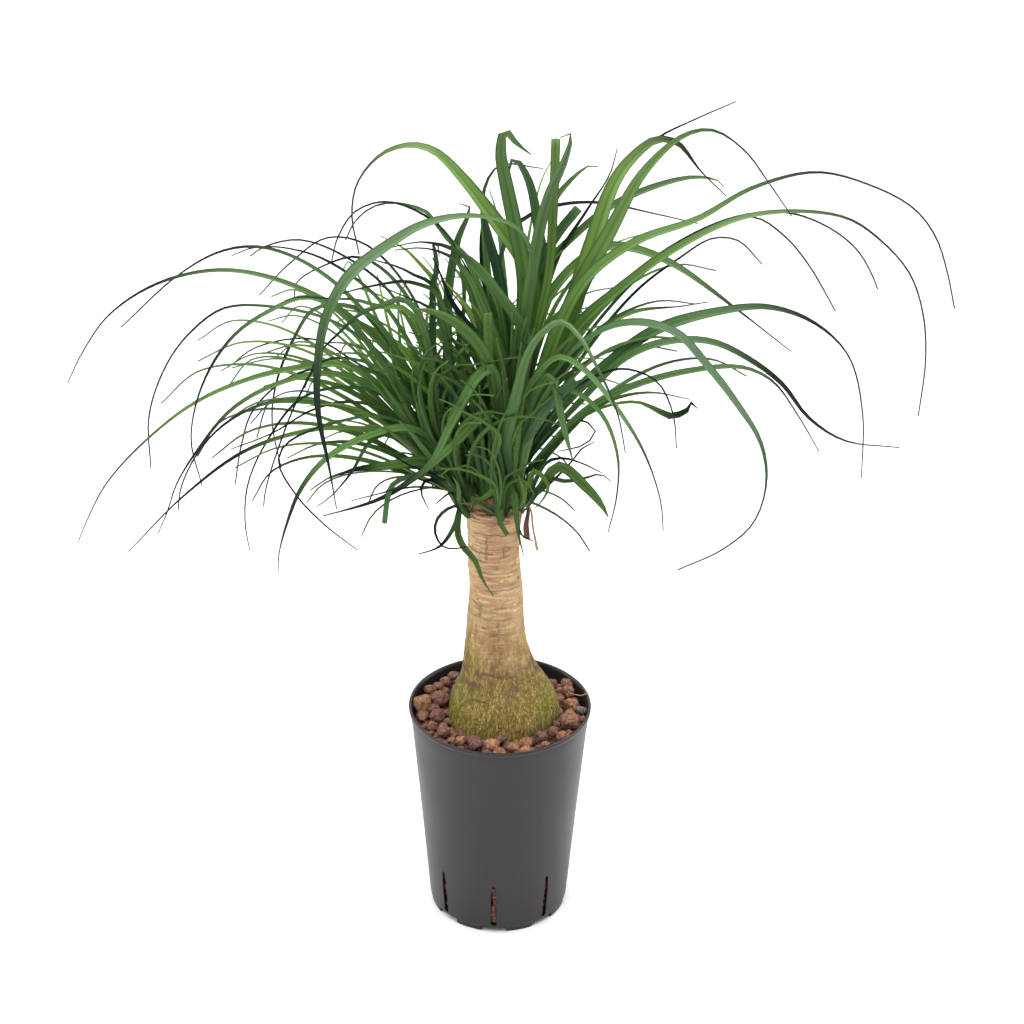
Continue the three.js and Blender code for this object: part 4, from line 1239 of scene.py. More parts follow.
# Head, form, width, tone from bright to dark, depth of the tip, and the sight points of the leaf
TRACED_LEAVES = [
    ("main", "late", 5.0, 0.65, 60, [(30, 480), (62, 590), (90, 663), (112, 690), (140, 706),
        (171, 721)]),
    ("main", "bowed", 15.0, 0.2, 50, [(28, 470), (48, 530), (66, 600), (83, 656), (97, 677),
        (113, 690), (128, 688), (147, 665), (167, 645)]),
    ("main", "fine", 16.0, 0.3, -25, [(30, 480), (56, 563), (80, 615), (105, 665), (134, 694),
        (155, 698), (179, 682), (197, 658), (217, 629)]),
    ("main", "broad", 6.0, 0.5, 95, [(18, 500), (34, 587), (53, 611), (79, 635), (109, 651),
        (140, 660), (159, 658), (165, 652)]),
    ("main", "swept", 15.0, 0.4, -55, [(25, 470), (45, 540), (66, 579), (102, 608), (146, 626),
        (187, 652), (234, 665), (277, 654), (309, 636), (327, 613), (338, 584), (346, 553)]),
    ("main", "swept", 12.5, 0.35, 35, [(28, 470), (58, 536), (85, 564), (125, 598), (175, 626),
        (216, 633), (258, 628), (284, 611), (309, 583), (322, 549), (327, 509), (325, 460)]),
    ("main", "pointed", 3.5, 0.8, 60, [(22, 440), (60, 520), (110, 585), (150, 617), (188, 628),
        (212, 613), (232, 589), (255, 550)]),
    ("main", "pointed", 4.0, 0.8, 120, [(30, 480), (80, 560), (130, 605), (175, 628), (213, 632),
        (244, 621), (268, 602), (282, 579), (286, 569)]),
    ("main", "pointed", 4.0, 0.6, 100, [(22, 430), (61, 508), (101, 565), (134, 594), (157, 610),
        (177, 609), (197, 589)]),
    ("main", "bowed", 8.0, 0.45, 60, [(15, 450), (35, 560), (73, 601), (95, 602), (128, 589),
        (180, 550), (223, 515)]),
    ("main", "drawn", 13.0, 0.65, -85, [(22, 425), (50, 470), (82, 504), (118, 533), (165, 549),
        (204, 553), (239, 540), (267, 512), (281, 463), (284, 404)]),
    ("main", "late", 7.0, 0.6, -120, [(22, 420), (62, 472), (95, 509), (127, 523), (161, 523),
        (191, 508), (217, 487), (239, 458), (268, 438), (312, 432)]),
    ("main", "bowed", 6.0, 0.55, -150, [(22, 412), (62, 460), (96, 482), (145, 498), (187, 501),
        (210, 489), (230, 461), (249, 428)]),
    ("main", "arching", 13.0, 0.8, -205, [(16, 430), (32, 478), (52, 512), (80, 534), (105, 539),
        (134, 530), (158, 503), (183, 469), (203, 435), (209, 400), (201, 364), (178, 339), (142, 319)]),
    ("main", "early", 15.0, 0.35, -221, [(3, 433), (6, 452), (10, 472), (19, 510), (29, 528),
        (45, 539), (59, 526), (74, 498), (84, 476), (91, 456), (97, 425)]),
    ("main", "bowed", 5.5, 0.55, -190, [(10, 440), (22, 485), (44, 509), (61, 500), (87, 468),
        (111, 427), (126, 382), (129, 355)]),
    ("main", "bowed", 4.6, 0.55, -150, [(14, 420), (32, 465), (45, 480), (58, 478), (79, 457),
        (91, 422), (91, 385), (85, 353)]),
    ("main", "curled", 7.2, 0.35, -70, [(18, 405), (38, 432), (58, 453), (83, 467), (106, 470),
        (121, 463), (131, 458), (144, 463), (148, 471), (152, 465)]),
    ("main", "pointed", 3.5, 0.8, -130, [(22, 430), (50, 475), (75, 494), (96, 499), (120, 488),
        (133, 461), (137, 430)]),
    ("main", "bowed", 6.0, 0.45, 140, [(25, 450), (50, 500), (75, 533), (100, 548), (136, 553),
        (157, 557)]),
    ("main", "late", 4.6, 0.62, 120, [(-4, 500), (-4, 585), (8, 618), (30, 633), (65, 639),
        (118, 629), (147, 622)]),
    ("main", "pointed", 3.2, 0.75, -40, [(18, 412), (34, 440), (49, 453), (65, 453), (73, 443),
        (64, 432), (44, 426)]),
    ("main", "fine", 16.0, 0.25, 40, [(14, 470), (22, 560), (16, 588), (-6, 622), (-31, 657),
        (-52, 679), (-70, 684), (-91, 677), (-110, 654), (-115, 627), (-110, 594)]),
    ("main", "broad", 12.0, 0.45, 20, [(10, 480), (16, 570), (8, 620), (2, 650), (-3, 680), (0, 696),
        (9, 686), (20, 677)]),
    ("main", "broad", 8.5, 0.7, 60, [(14, 480), (30, 590), (27, 611), (18, 657), (7, 674), (2, 658)]),
    ("main", "broad", 9.5, 0.3, -12, [(12, 470), (26, 610), (34, 645), (46, 676), (49, 694),
        (41, 691)]),
    ("main", "broad", 6.5, 0.25, 30, [(14, 480), (26, 613), (41, 646), (64, 669), (70, 668)]),
    ("main", "bowed", 6.5, 0.5, 90, [(0, 480), (-14, 600), (-15, 649), (-4, 668), (29, 666)]),
    ("main", "pointed", 7.0, 0.7, 80, [(14, 460), (40, 590), (61, 630), (79, 662), (84, 683)]),
    ("main", "hanging", 12.0, 0.65, -110, [(10, 470), (22, 590), (9, 618), (-24, 627), (-60, 620),
        (-91, 600), (-118, 576), (-136, 541), (-143, 502), (-144, 462), (-136, 409), (-131, 372)]),
    ("main", "bowed", 5.5, 0.45, 60, [(4, 480), (-6, 560), (-22, 584), (-32, 597), (-42, 607),
        (-51, 620), (-59, 630), (-72, 635), (-86, 637), (-100, 633), (-113, 621), (-120, 606)]),
    ("main", "bowed", 9.0, 0.55, -95, [(0, 420), (-3, 470), (-10, 499), (-20, 491), (-40, 450),
        (-56, 415), (-79, 394), (-119, 380)]),
    ("main", "late", 8.0, 0.3, -80, [(-1, 420), (-1, 452), (-6, 459), (-16, 455), (-39, 430),
        (-69, 401), (-98, 381), (-142, 366)]),
    ("main", "bowed", 10.0, 0.4, -30, [(14, 470), (18, 524), (8, 545), (-5, 564), (-14, 578),
        (-24, 589), (-33, 596), (-42, 601), (-53, 604), (-64, 605), (-79, 602), (-89, 599)]),
    ("left", "pointed", 4.5, 0.7, 60, [(-45, 470), (-30, 560), (-40, 606), (-60, 627), (-89, 638),
        (-112, 630), (-126, 608), (-131, 588)]),
    ("left", "pointed", 5.2, 0.6, 20, [(-55, 460), (-95, 530), (-133, 574), (-167, 595), (-193, 600),
        (-219, 594), (-250, 574), (-294, 531)]),
    ("left", "pointed", 5.2, 0.5, 70, [(-50, 460), (-90, 550), (-133, 588), (-165, 599), (-190, 599),
        (-207, 592)]),
    ("left", "pointed", 3.5, 0.8, 110, [(-45, 470), (-70, 560), (-104, 602), (-133, 608), (-163, 586),
        (-187, 559)]),
    ("left", "pointed", 4.0, 0.7, 90, [(-45, 460), (-85, 560), (-120, 592), (-154, 606), (-182, 600),
        (-193, 592)]),
    ("left", "pointed", 6.3, 0.5, 0, [(-60, 465), (-95, 520), (-133, 553), (-180, 575), (-220, 580),
        (-265, 568), (-303, 541), (-326, 507), (-338, 482)]),
    ("left", "pointed", 3.6, 0.75, 60, [(-60, 455), (-95, 510), (-134, 539), (-181, 550), (-214, 548),
        (-240, 528), (-260, 500), (-276, 455), (-277, 407)]),
    ("left", "pointed", 6.3, 0.6, -50, [(-60, 450), (-95, 505), (-125, 545), (-150, 558), (-181, 545),
        (-208, 524), (-232, 485), (-244, 435), (-237, 392)]),
    ("left", "early", 10.5, 0.4, -60, [(-62, 440), (-90, 475), (-120, 500), (-162, 497), (-203, 485),
        (-243, 464), (-285, 427), (-313, 393), (-329, 362), (-338, 340)]),
    ("left", "pointed", 6.9, 0.45, -90, [(-60, 435), (-95, 478), (-135, 493), (-176, 483),
        (-211, 461), (-237, 428), (-257, 394), (-265, 370), (-274, 348)]),
    ("left", "pointed", 5.2, 0.55, -20, [(-60, 430), (-105, 458), (-148, 467), (-185, 466),
        (-219, 446), (-241, 419), (-254, 390), (-257, 370)]),
    ("left", "late", 4.5, 0.25, -110, [(-45, 415), (-81, 440), (-116, 445), (-150, 443),
        (-202, 424), (-252, 383), (-298, 332)]),
    ("left", "late", 7.0, 0.45, -170, [(-45, 420), (-70, 445), (-99, 441), (-138, 418), (-159, 390),
        (-171, 358), (-178, 330), (-179, 314)]),
    ("left", "pointed", 3.5, 0.85, -150, [(-50, 425), (-90, 455), (-130, 450), (-170, 430),
        (-176, 414), (-163, 385), (-140, 357), (-115, 335)]),
    ("left", "pointed", 4.0, 0.85, -60, [(-60, 450), (-110, 480), (-155, 472), (-186, 430),
        (-201, 393), (-204, 358), (-201, 333)]),
    ("left", "pointed", 3.6, 0.8, 30, [(-60, 455), (-110, 498), (-160, 492), (-194, 461), (-205, 428),
        (-211, 393)]),
    ("left", "pointed", 3.8, 0.75, -100, [(-55, 440), (-100, 500), (-140, 503), (-159, 471),
        (-174, 432), (-187, 389), (-189, 374)]),
    ("left", "pointed", 5.8, 0.6, 20, [(-58, 455), (-105, 545), (-143, 549), (-161, 523), (-176, 483),
        (-180, 450), (-174, 409)]),
    ("left", "late", 10.0, 0.4, -90, [(-40, 405), (-60, 416), (-91, 412), (-117, 408), (-136, 400)]),
    ("left", "pointed", 6.9, 0.5, -110, [(-45, 415), (-75, 440), (-101, 436), (-119, 405),
        (-136, 383), (-146, 375)]),
    ("left", "pointed", 3.0, 0.8, 60, [(-50, 440), (-75, 480), (-110, 500), (-145, 522), (-190, 515),
        (-213, 497)]),
    ("left", "pointed", 4.0, 0.6, -30, [(-58, 440), (-100, 465), (-125, 468), (-150, 460),
        (-180, 440), (-214, 425)]),
    ("left", "pointed", 5.5, 0.7, 90, [(-48, 470), (-60, 530), (-85, 575), (-110, 592), (-140, 583),
        (-158, 570), (-160, 556)]),
    ("main", "pointed", 9.0, 0.35, 20, [(5, 445), (-2, 497), (-10, 536), (-18, 559), (-26, 579),
        (-39, 604)]),
    # This leaf has the darkest tone as painted shade, for the shaded back of the crown between two
    # bright leaves.
    ("main", "broad", 9.0, 1.0, 60, [(14, 454), (7, 514), (0, 557), (-5, 584), (-11, 607), (-19, 643)]),
    ("main", "late", 7.5, 0.4, 70, [(-2, 453), (-8, 523), (-13, 564), (-17, 592), (-17, 617),
        (-13, 636)]),
    ("left", "broad", 7.5, 0.6, 50, [(-42, 435), (-43, 505), (-42, 565), (-35, 607), (-26, 634),
        (-34, 637)]),
    ("main", "bowed", 8.0, 0.4, -10, [(8, 470), (-2, 514), (-14, 545), (-24, 571), (-33, 586),
        (-44, 595), (-61, 600), (-83, 598)]),
    ("main", "broad", 8.5, 0.0, 0, [(4, 450), (-8, 501), (-17, 538), (-21, 552), (-29, 577),
        (-37, 589)]),
    ("main", "late", 9.0, 0.75, -20, [(2, 460), (-11, 517), (-20, 527), (-29, 538), (-41, 558),
        (-49, 581), (-54, 592)]),
    ("main", "broad", 9.5, 0.1, -50, [(2, 450), (-11, 503), (-23, 524), (-39, 539), (-55, 547),
        (-68, 549)]),
    ("main", "broad", 7.0, 0.45, -105, [(19, 454), (29, 484), (36, 492), (41, 484), (45, 462),
        (50, 440), (56, 417)]),
    ("main", "late", 3.0, 0.05, -70, [(6, 431), (9, 453), (13, 468), (21, 479), (33, 485), (44, 488)]),
    ("main", "late", 3.0, 0.1, -60, [(6, 414), (12, 448), (22, 458), (34, 470), (42, 477)]),
    ("middle", "late", 3.6, 0.1, -80, [(-2, 439), (-10, 448), (-18, 454), (-28, 459), (-38, 466),
        (-49, 471)]),
    ("left", "broad", 5.5, 0.9, 10, [(-46, 450), (-54, 518), (-54, 551), (-54, 568), (-51, 582),
        (-52, 596), (-54, 603), (-51, 606), (-49, 593)]),
    ("left", "late", 8.0, 0.0, 40, [(-40, 460), (-45, 531), (-53, 572), (-64, 587), (-75, 599),
        (-94, 610)]),
    ("left", "late", 7.0, 0.8, 30, [(-42, 460), (-47, 548), (-56, 572), (-64, 575), (-80, 584),
        (-99, 590)]),
    ("left", "late", 6.0, 0.3, 0, [(-42, 450), (-48, 557), (-55, 566), (-63, 569), (-76, 572),
        (-90, 570), (-116, 564), (-129, 559)]),
    ("left", "bowed", 6.5, 0.5, -10, [(-42, 440), (-49, 540), (-58, 551), (-73, 558), (-94, 568)]),
    ("left", "bowed", 6.5, 0.4, -60, [(-50, 440), (-60, 527), (-70, 552), (-80, 557), (-91, 552),
        (-107, 546), (-126, 528), (-142, 510), (-154, 480)]),
    ("left", "bowed", 6.0, 0.3, -30, [(-48, 440), (-64, 531), (-78, 550), (-93, 550), (-113, 556),
        (-133, 557), (-157, 558), (-167, 555)]),
    ("left", "pointed", 8.5, 0.15, 20, [(-52, 440), (-70, 504), (-80, 517), (-100, 530), (-118, 541),
        (-143, 559), (-163, 570), (-185, 577)]),
    ("rimLeft", "pointed", 3.5, 0.7, -48, [(-37, 376), (-50, 366), (-53, 353), (-47, 339), (-38, 337),
        (-27, 339)]),
    ("rimLeft", "pointed", 5.5, 0.6, -44, [(-33, 375), (-36, 361), (-47, 341), (-56, 335), (-66, 332)]),
    ("rimLeft", "late", 6.3, 0.36, -38, [(-32, 372), (-35, 352), (-30, 338), (-21, 326), (-15, 309),
        (-6, 293)]),
    ("rimLeft", "late", 4.5, 0.5, -60, [(-45, 395), (-60, 399), (-64, 390), (-58, 373)]),
    ("rimLeft", "pointed", 3.0, 0.7, -50, [(-50, 402), (-72, 412), (-84, 420)]),
    ("rimLeft", "pointed", 4.0, 0.5, -35, [(-40, 388), (-48, 382), (-52, 378)]),
    ("rimFront", "pointed", 8.5, 0.45, -36, [(8, 392), (10, 385), (12, 366), (14, 349), (18, 331)]),
    ("rimFront", "late", 2.6, 0.12, -62, [(-6, 396), (-20, 405), (-40, 410), (-48, 404)]),
    ("rimRight", "broad", 8.5, 0.42, -35, [(33, 397), (40, 409), (47, 413), (54, 408), (64, 397),
        (73, 387), (80, 377), (85, 367)]),
    ("rimRight", "late", 4.5, 0.45, -28, [(37, 401), (51, 399), (65, 402), (78, 406), (86, 400)]),
    ("rimRight", "pointed", 4.5, 0.6, -22, [(35, 416), (47, 420), (62, 416), (79, 407)]),
    ("rimRight", "late", 5.5, 0.15, -26, [(26, 409), (33, 402), (37, 395), (33, 383), (26, 374)]),
    ("rimRight", "pointed", 3.2, 0.7, -10, [(45, 405), (57, 420), (62, 428), (73, 435)]),
    ("rimFront", "pointed", 3.0, 0.8, -38, [(8, 376), (13, 360), (17, 349), (25, 345)]),
    ("rimFront", "late", 2.6, 0.1, -50, [(-6, 396), (-16, 402), (-27, 408), (-49, 410)]),
    ("rimFront", "late", 4.0, 0.3, -45, [(-6, 404), (-13, 418), (-22, 423), (-29, 422)]),
    ("rimFront", "late", 6.5, 0.15, -30, [(-4, 394), (-11, 386), (-25, 378), (-35, 379)]),
    ("rimRight", "late", 5.0, 0.0, -34, [(14, 396), (18, 399), (19, 388), (17, 374)]),
    ("rimFront", "late", 2.6, 0.3, -40, [(3, 402), (13, 409), (22, 416), (33, 419)]),
    ("rimFront", "late", 3.2, 0.2, -40, [(3, 391), (8, 398), (16, 400), (22, 395), (26, 385)]),
    ("rimFront", "late", 4.2, 0.25, -38, [(-25, 384), (-19, 382), (-12, 384), (-4, 393)]),
    ("rimFront", "late", 2.6, 0.2, -45, [(-8, 394), (-17, 405), (-28, 413), (-39, 409)]),
    ("rimFront", "late", 2.8, 0.15, -45, [(-1, 398), (-4, 414), (-11, 427), (-22, 430)]),
    ("rimRight", "late", 5.0, 0.05, -38, [(15, 375), (17, 387), (15, 398), (13, 405)]),
    ("rimLeft", "late", 4.5, 0.1, -42, [(-34, 381), (-34, 389), (-35, 396), (-39, 403)]),
    ("main", "blunt", 9.0, 0.0, -30, [(-1, 415), (-4, 458), (-10, 500), (-12, 546)]),
    ("main", "blunt", 9.0, 0.75, 45, [(14, 500), (22, 566), (31, 594), (42, 615), (56, 634)]),
    ("main", "blunt", 10.5, 0.8, -75, [(12, 410), (20, 437), (36, 467), (57, 489)]),
    ("main", "blunt", 8.6, 0.2, 10, [(14, 470), (34, 577), (37, 636), (38, 690)]),
    ("left", "blunt", 5.2, 0.8, -105, [(-45, 405), (-70, 403), (-81, 399), (-88, 392), (-91, 378),
        (-93, 360)]),
    ("rimFront", "blunt", 4.8, 0.28, -36, [(-5, 385), (-3, 374), (-1, 361), (5, 350)]),
]
print("leaves traced in the photograph:", len(TRACED_LEAVES))


# %% Routes in space
def stem_point(head, share):
    base, lean, _, _ = HEADS[head]
    return np.array(base, float) + np.array(lean, float) * share


def leaf_root(head, tip_depth, sight):
    """Upright leaves grow near the top of the stem and low ones near its foot."""
    low = stem_point(head, LOW_SHARE)
    heading = sighted(*sight, mix(low[1], tip_depth, 0.4)) - low
    level = math.hypot(heading[0], heading[1])
    rise = max(0, math.atan2(heading[2], level) / (math.pi / 2))
    root = stem_point(head, mix(LOW_SHARE, HIGH_SHARE, rise ** 2))
    outward = np.array([heading[0], heading[1], 0]) / level
    return root + outward * ROOT_OUT * HEADS[head][3]


def leaf_route(head, tip_depth, sights):
    root = leaf_root(head, tip_depth, sights[min(1, len(sights) - 1)])
    share = (root[1] - EYE[1]) / -EYE[1]
    seen = np.array([(root[0] / share, EYE[2] + (root[2] - EYE[2]) / share), *sights])
    run = np.concatenate([[0], np.cumsum(np.linalg.norm(np.diff(seen, axis=0), axis=1))])
    depths = mix(root[1], tip_depth, (run / run[-1]) ** DEPTH_POWER)
    points = [sighted(across, height, depth) for (across, height), depth in zip(seen[1:], depths[1:])]
    return [root, *points]


def traced_leaves():
    """Leaves along the traced routes, sorted by head. Upright and young ones hardly darken."""
    leaves = {}
    for index, (head, form, width, tone, tip_depth, sights) in enumerate(TRACED_LEAVES):
        upright = form in ("broad", "blunt")
        young = tone < (0.5 if head.startswith("rim") else 0.2)
        narrow = np.clip((7 - width) / 3.5, 0, 1)
        leaf = {
            **PLAIN_LEAF,
            "route": leaf_route(head, tip_depth, sights),
            "form": form,
            "width": width,
            "roll": 24 * (spread(index, 55) - 0.5),
            "facing": 0.95 if upright else mix(0.5, 0.9, spread(index, 53)),
            "tone": tone,
            "twist": 0.25 * (spread(index, 52) - 0.5),
            "dark_end": 0.2 if upright or young else mix(0.93, 0.98, narrow),
            "later": LATER.get(head, 0),
            "dry_end": float(spread(index, 54) > 0.93 and form == "pointed"),
        }
        leaves.setdefault(head, []).append(leaf)
    return leaves


print("a first root:", leaf_root("main", 60, (62, 590)).round(1))

# %% Inner leaves
SPIRAL_TURN = math.radians(SPIRAL_DEGREES)
# Head, count, first turn, shortest and longest, width, rise, droop, crowded side and salt
INNER_RINGS = [
    ("main", 38, 25, (170, 285), (4.5, 9), (86, 50), (5, 60), -1, 3),
    ("left", 38, 80, (150, 280), (3.2, 5.5), (84, 36), (45, 85), 1, 7),
    ("main", 44, 10, (120, 240), (4, 8), (87, 50), (5, 50), -1, 13),
    ("left", 36, 40, (110, 235), (3.5, 6.5), (84, 42), (35, 80), 1, 17),
    ("middle", 22, 60, (110, 225), (3.5, 6.5), (88, 62), (0, 35), 0, 23),
    ("main", 16, 30, (28, 62), (1.6, 2.6), (70, 10), (10, 50), 0, 53),
    ("left", 10, 15, (28, 62), (1.6, 2.6), (70, 10), (10, 50), 0, 57),
]
SKIRT_RINGS = [
    ("main", 18, 0, (60, 140), (1.8, 3.4), (48, 0), (30, 80), 0, 33),
    ("left", 26, 70, (60, 140), (1.8, 3.6), (48, 0), (30, 80), 0, 43),
    ("middle", 7, 20, (40, 90), (1.6, 2.6), (40, 0), (30, 75), 0, 47),
]
INNER_STEPS = 6
BEND_POWER = 1.9
# The leaves of a skirt that face the viewer are left out, and so are two in three of those at the
# open right side of the main head
FRONT_LIMIT = 0.45
OPEN_LIMIT = 0.4


def inner_leaf(ring, index):
    """An inner leaf rises from its stem and bends over under its own weight."""
    head, count, first, lengths, widths, rises, droops, crowded_side, salt = ring
    age = (index + 0.5) / count
    turned = math.radians(first) + SPIRAL_TURN * index
    front = max(0, -math.sin(turned))
    crowded = max(0, crowded_side * math.cos(turned))
    calm = max(front, 0.7 * crowded)
    size = 0.4 * spread(index, salt) + 0.6 * math.sqrt(age)
    length = mix(*lengths, size) * (1 - 0.42 * max(front, crowded))
    swing = 10 * (spread(index, salt + 2) - 0.5)
    rise = math.radians(mix(*rises, age * (1 - 0.6 * calm)) + swing)
    bend = (rise + math.radians(mix(*droops, age))) * (1 - 0.78 * calm)
    outward = np.array([math.cos(turned), math.sin(turned), 0])
    upward = np.array([0, 0, 1.0])
    lean = np.array(HEADS[head][1], float)
    leaning = lean / np.linalg.norm(lean) - upward
    point = stem_point(head, 0.1 + 0.85 * (1 - age)) + outward * ROOT_OUT * HEADS[head][3]
    points = [point]
    for step in range(INNER_STEPS):
        share = (step + 0.5) / INNER_STEPS
        angle = rise - bend * share ** BEND_POWER
        heading = outward * math.cos(angle) + upward * math.sin(angle) + leaning * 0.9 * (1 - share)
        point = point + heading / np.linalg.norm(heading) * length / INNER_STEPS
        points.append(point)
    darkest = mix(0.35, 0.74 if head == "main" else 0.54, soft_step(length, 60, 140))
    leaf = {
        **PLAIN_LEAF,
        "route": points,
        "width": mix(*widths, spread(index, salt + 1)),
        "facing": mix(0.1, 0.7, spread(index, salt + 6)),
        "form": "late" if widths[0] > 3 and calm > 0.2 else "pointed",
        "tone": darkest * spread(index, salt + 4) * (1 - 0.2 * front),
        "twist": 0.5 * (spread(index, salt + 5) - 0.5),
        "dark_end": 0.8 * age * (1 - 0.8 * calm),
        "later": LATER.get(head, 0),
        "dry_end": float(spread(index, salt + 7) > 0.95),
    }
    hidden = front < FRONT_LIMIT or ring in INNER_RINGS
    at_open_side = head == "main" and math.cos(turned) > OPEN_LIMIT
    return leaf, hidden and (index % 3 == 0 or not at_open_side)


leaves = traced_leaves()
for ring in INNER_RINGS + SKIRT_RINGS:
    for index in range(ring[1]):
        leaf, kept = inner_leaf(ring, index)
        if kept:
            leaves[ring[0]].append(leaf)
leaf_piece("main_head_leaves", leaves["main"], living_leaf, "foliage")
leaf_piece("left_head_leaves", leaves["left"], living_leaf, "foliage")
leaf_piece("middle_leaves", leaves["middle"], living_leaf, "foliage")
shoots = leaves["rimLeft"] + leaves["rimFront"] + leaves["rimRight"]
leaf_piece("rim_shoot_leaves", shoots, living_leaf, "foliage")

# %% [markdown]
# ## The leaf bases and the cut top
# Where a leaf meets its stem it widens into a sheath that wraps round it. Without sheaths the
# leaves would seem to be stuck on. The stems themselves stand on the callus that has healed
# over the cut trunk, which is rough and brown.

# %% Leaf bases
SHEATH_COUNTS = {"main": 20, "left": 18, "middle": 8, "rimLeft": 5, "rimFront": 5, "rimRight": 5}


def sheath_leaf(head, index, count):
    """A short leaf base that rises along its stem and opens at its end."""
    _, _, foot_radius, apart = HEADS[head]
    age = (index + 0.5) / count
    turned = SPIRAL_TURN * index
    outward = np.array([math.cos(turned), math.sin(turned), 0])
    small = min(1, apart / 14)
    radius = mix(foot_radius, 0.55 * max(apart, foot_radius), age) * 0.85
    start = stem_point(head, 0.04 + 0.55 * age) + outward * radius
    rise = stem_point(head, 0.3 + 0.6 * age) + outward * (radius + 1.5 * small)
    end = stem_point(head, 0.55 + 0.75 * age) + outward * (radius + 7 * small)
    end = end + np.array([0, 0, 14 * small])
    return {
        **PLAIN_LEAF,
        "route": [start, rise, end],
        "width": mix(3.5, 7, spread(index, 61)) * (0.45 + 0.55 * small),
        "form": "pointed",
        "tone": 0.3 + 0.6 * spread(index, 62),
        "twist": 0.1,
    }


sheaths = []
for head, count in SHEATH_COUNTS.items():
    sheaths.extend(sheath_leaf(head, index, count) for index in range(count))
leaf_piece("leaf_bases", sheaths, living_leaf, "foliage")

# %% Stems and healed cut
# A small shoot, whose leaves grow less than this apart, comes out of the trunk's side, so its
# foot is sunk by this much
SMALL_SHOOT = 10
SHOOT_SINK = 5.0
STEM_ROWS = 12
STEM_SIDES = 24
CALLUS_MIDDLE = -5.6
CALLUS_RADIUS = 22.0
# How far lumps push the callus out, and lift it above its shoulder
CALLUS_LUMPS = 1.6
CALLUS_LIFT = 0.9
CALLUS_SHOULDER = 380
# Radius and height of the corners of the callus, which starts a little inside the trunk
CALLUS_OUTLINE = [
    (0, 378.3), (21, 378.3), (21.6, 380.5), (19.5, 384), (15, 387.3), (8, 388.5), (0, 389),
]


def stem_shape(head):
    base, _, foot_radius, apart = HEADS[head]
    small = apart < SMALL_SHOOT
    shares = np.linspace(0, 1, STEM_ROWS)
    route = [stem_point(head, share) for share in shares]
    foot = 0.55 * foot_radius if small else foot_radius
    top = 0.5 * min(apart, foot)
    radii = mix(foot, top, shares) * (1 + 0.05 * np.sin(shares * 40))
    if small:
        inward = np.array([CALLUS_MIDDLE - base[0], -base[1], -4.0])
        route.insert(0, route[0] + SHOOT_SINK * inward / np.linalg.norm(inward))
        radii = np.append(foot, radii)
    return tube(route, radii, STEM_SIDES)


points, faces = gather(stem_shape(head) for head in HEADS)
stems = add_piece("leaf_stems", points, faces, living_leaf, "foliage")
add_values(stems, "tone", [0.5] * len(points))

points, faces = lathe(soften(CALLUS_OUTLINE, 2), ROUND_SEGMENTS)
points = np.array(points)
for index, point in enumerate(points):
    lump = noise.noise(Vector(point) / 5)
    outward = np.array([point[0], point[1], 0]) / CALLUS_RADIUS
    points[index] = point + outward * CALLUS_LUMPS * lump
    points[index][2] += CALLUS_LIFT * max(0, lump) * (point[2] > CALLUS_SHOULDER)
points[:, 0] += CALLUS_MIDDLE
callus = add_piece("healed_cut", points, faces, bark, "foliage")
hollows = [0.9 + 0.4 * max(-1.2, min(0.6, 3 * noise.noise(Vector(point) / 7))) for point in points]
add_values(callus, "groove", hollows)
print("stems and callus are in place")

# %% [markdown]
# ## Dried leaves and a root thread
# Old leaves dry to a dull purple brown and hang on for a while. Torn scraps of them lie round
# the trunk's top edge, and brown stubs stand among the green leaf bases. They share the shape of
# the living leaves, so they share its mesh code and its line effect, with other colours and a
# duller skin.

# %% Dried leaf material
dry_leaf, tree, surface = new_material("dried leaf", 0.85)
lines, _, _ = leaf_lines(tree, 7.0)
tone = attribute(tree, "tone")
brown = color_ramp(tree, tone, [
    (0.0, (0.12, 0.055, 0.055)),
    (0.4, (0.34, 0.15, 0.1)),
    (1.0, (0.52, 0.34, 0.2)),
])
faded = tint(tree, brown, lines, 0.4, (0.34, 0.2, 0.14))
tree.links.new(faded, surface.inputs["Base Color"])
add_bump(tree, surface, 0.6, 0.0005, lines)
print("material made:", dry_leaf.name)

# %% Dried leaves
DRY_SHEATH = [(20.5, -6, 383), (21.5, -7, 376), (20.2, -8, 364), (20.6, -9, 352)]
DRY_FLAKE = [(25.4, -3.6, 357), (26.5, -4, 351), (28.8, -5, 339)]
DRY_FIBRE = [(20.5, -5, 381), (23.5, -3, 374), (25, -3, 362), (26, -3.8, 354)]
FLAKE_COUNT = 30
FLAKE_RADIUS = 23.4
FLAKE_MIDDLE = -5.8
# Least and most degrees that a scrap reaches round the trunk, and its height
FLAKE_SPANS = (12, 34)
FLAKE_LEVELS = (372.5, 382.5)
STUB_COUNTS = {"left": 9, "main": 10, "middle": 5}
STUB_HEIGHTS = (16, 34)
STUB_TURN = 0.4


def dry_strip(route, width, tone, twist, roll=60, form="blunt"):
    own = {"route": route, "width": width, "tone": tone, "twist": twist, "roll": roll, "form": form}
    return {**PLAIN_LEAF, **own}


def flake_strip(index):
    """A torn scrap of an old leaf base that still lies round the top edge of the trunk."""
    start = SPIRAL_TURN * index
    span = math.radians(mix(*FLAKE_SPANS, spread(index, 71)))
    level = mix(*FLAKE_LEVELS, spread(index, 72))
    slope = 3.5 * (spread(index, 73) - 0.5)
    lift = 0.5 + 1.6 * spread(index, 74) ** 3
    route = []
    for share in (0, 0.35, 0.7, 1):
        angle = start + span * share
        radius = FLAKE_RADIUS - 2.2 * max(0, (level - 379) / 4) + lift * share
        x = radius * math.cos(angle) + FLAKE_MIDDLE
        route.append((x, radius * math.sin(angle), level + slope * share))
    width = mix(1.6, 4.2, spread(index, 75))
    tone = 0.3 + 0.6 * spread(index, 76)
    return dry_strip(route, width, tone, 0.5, roll=90, form="late")


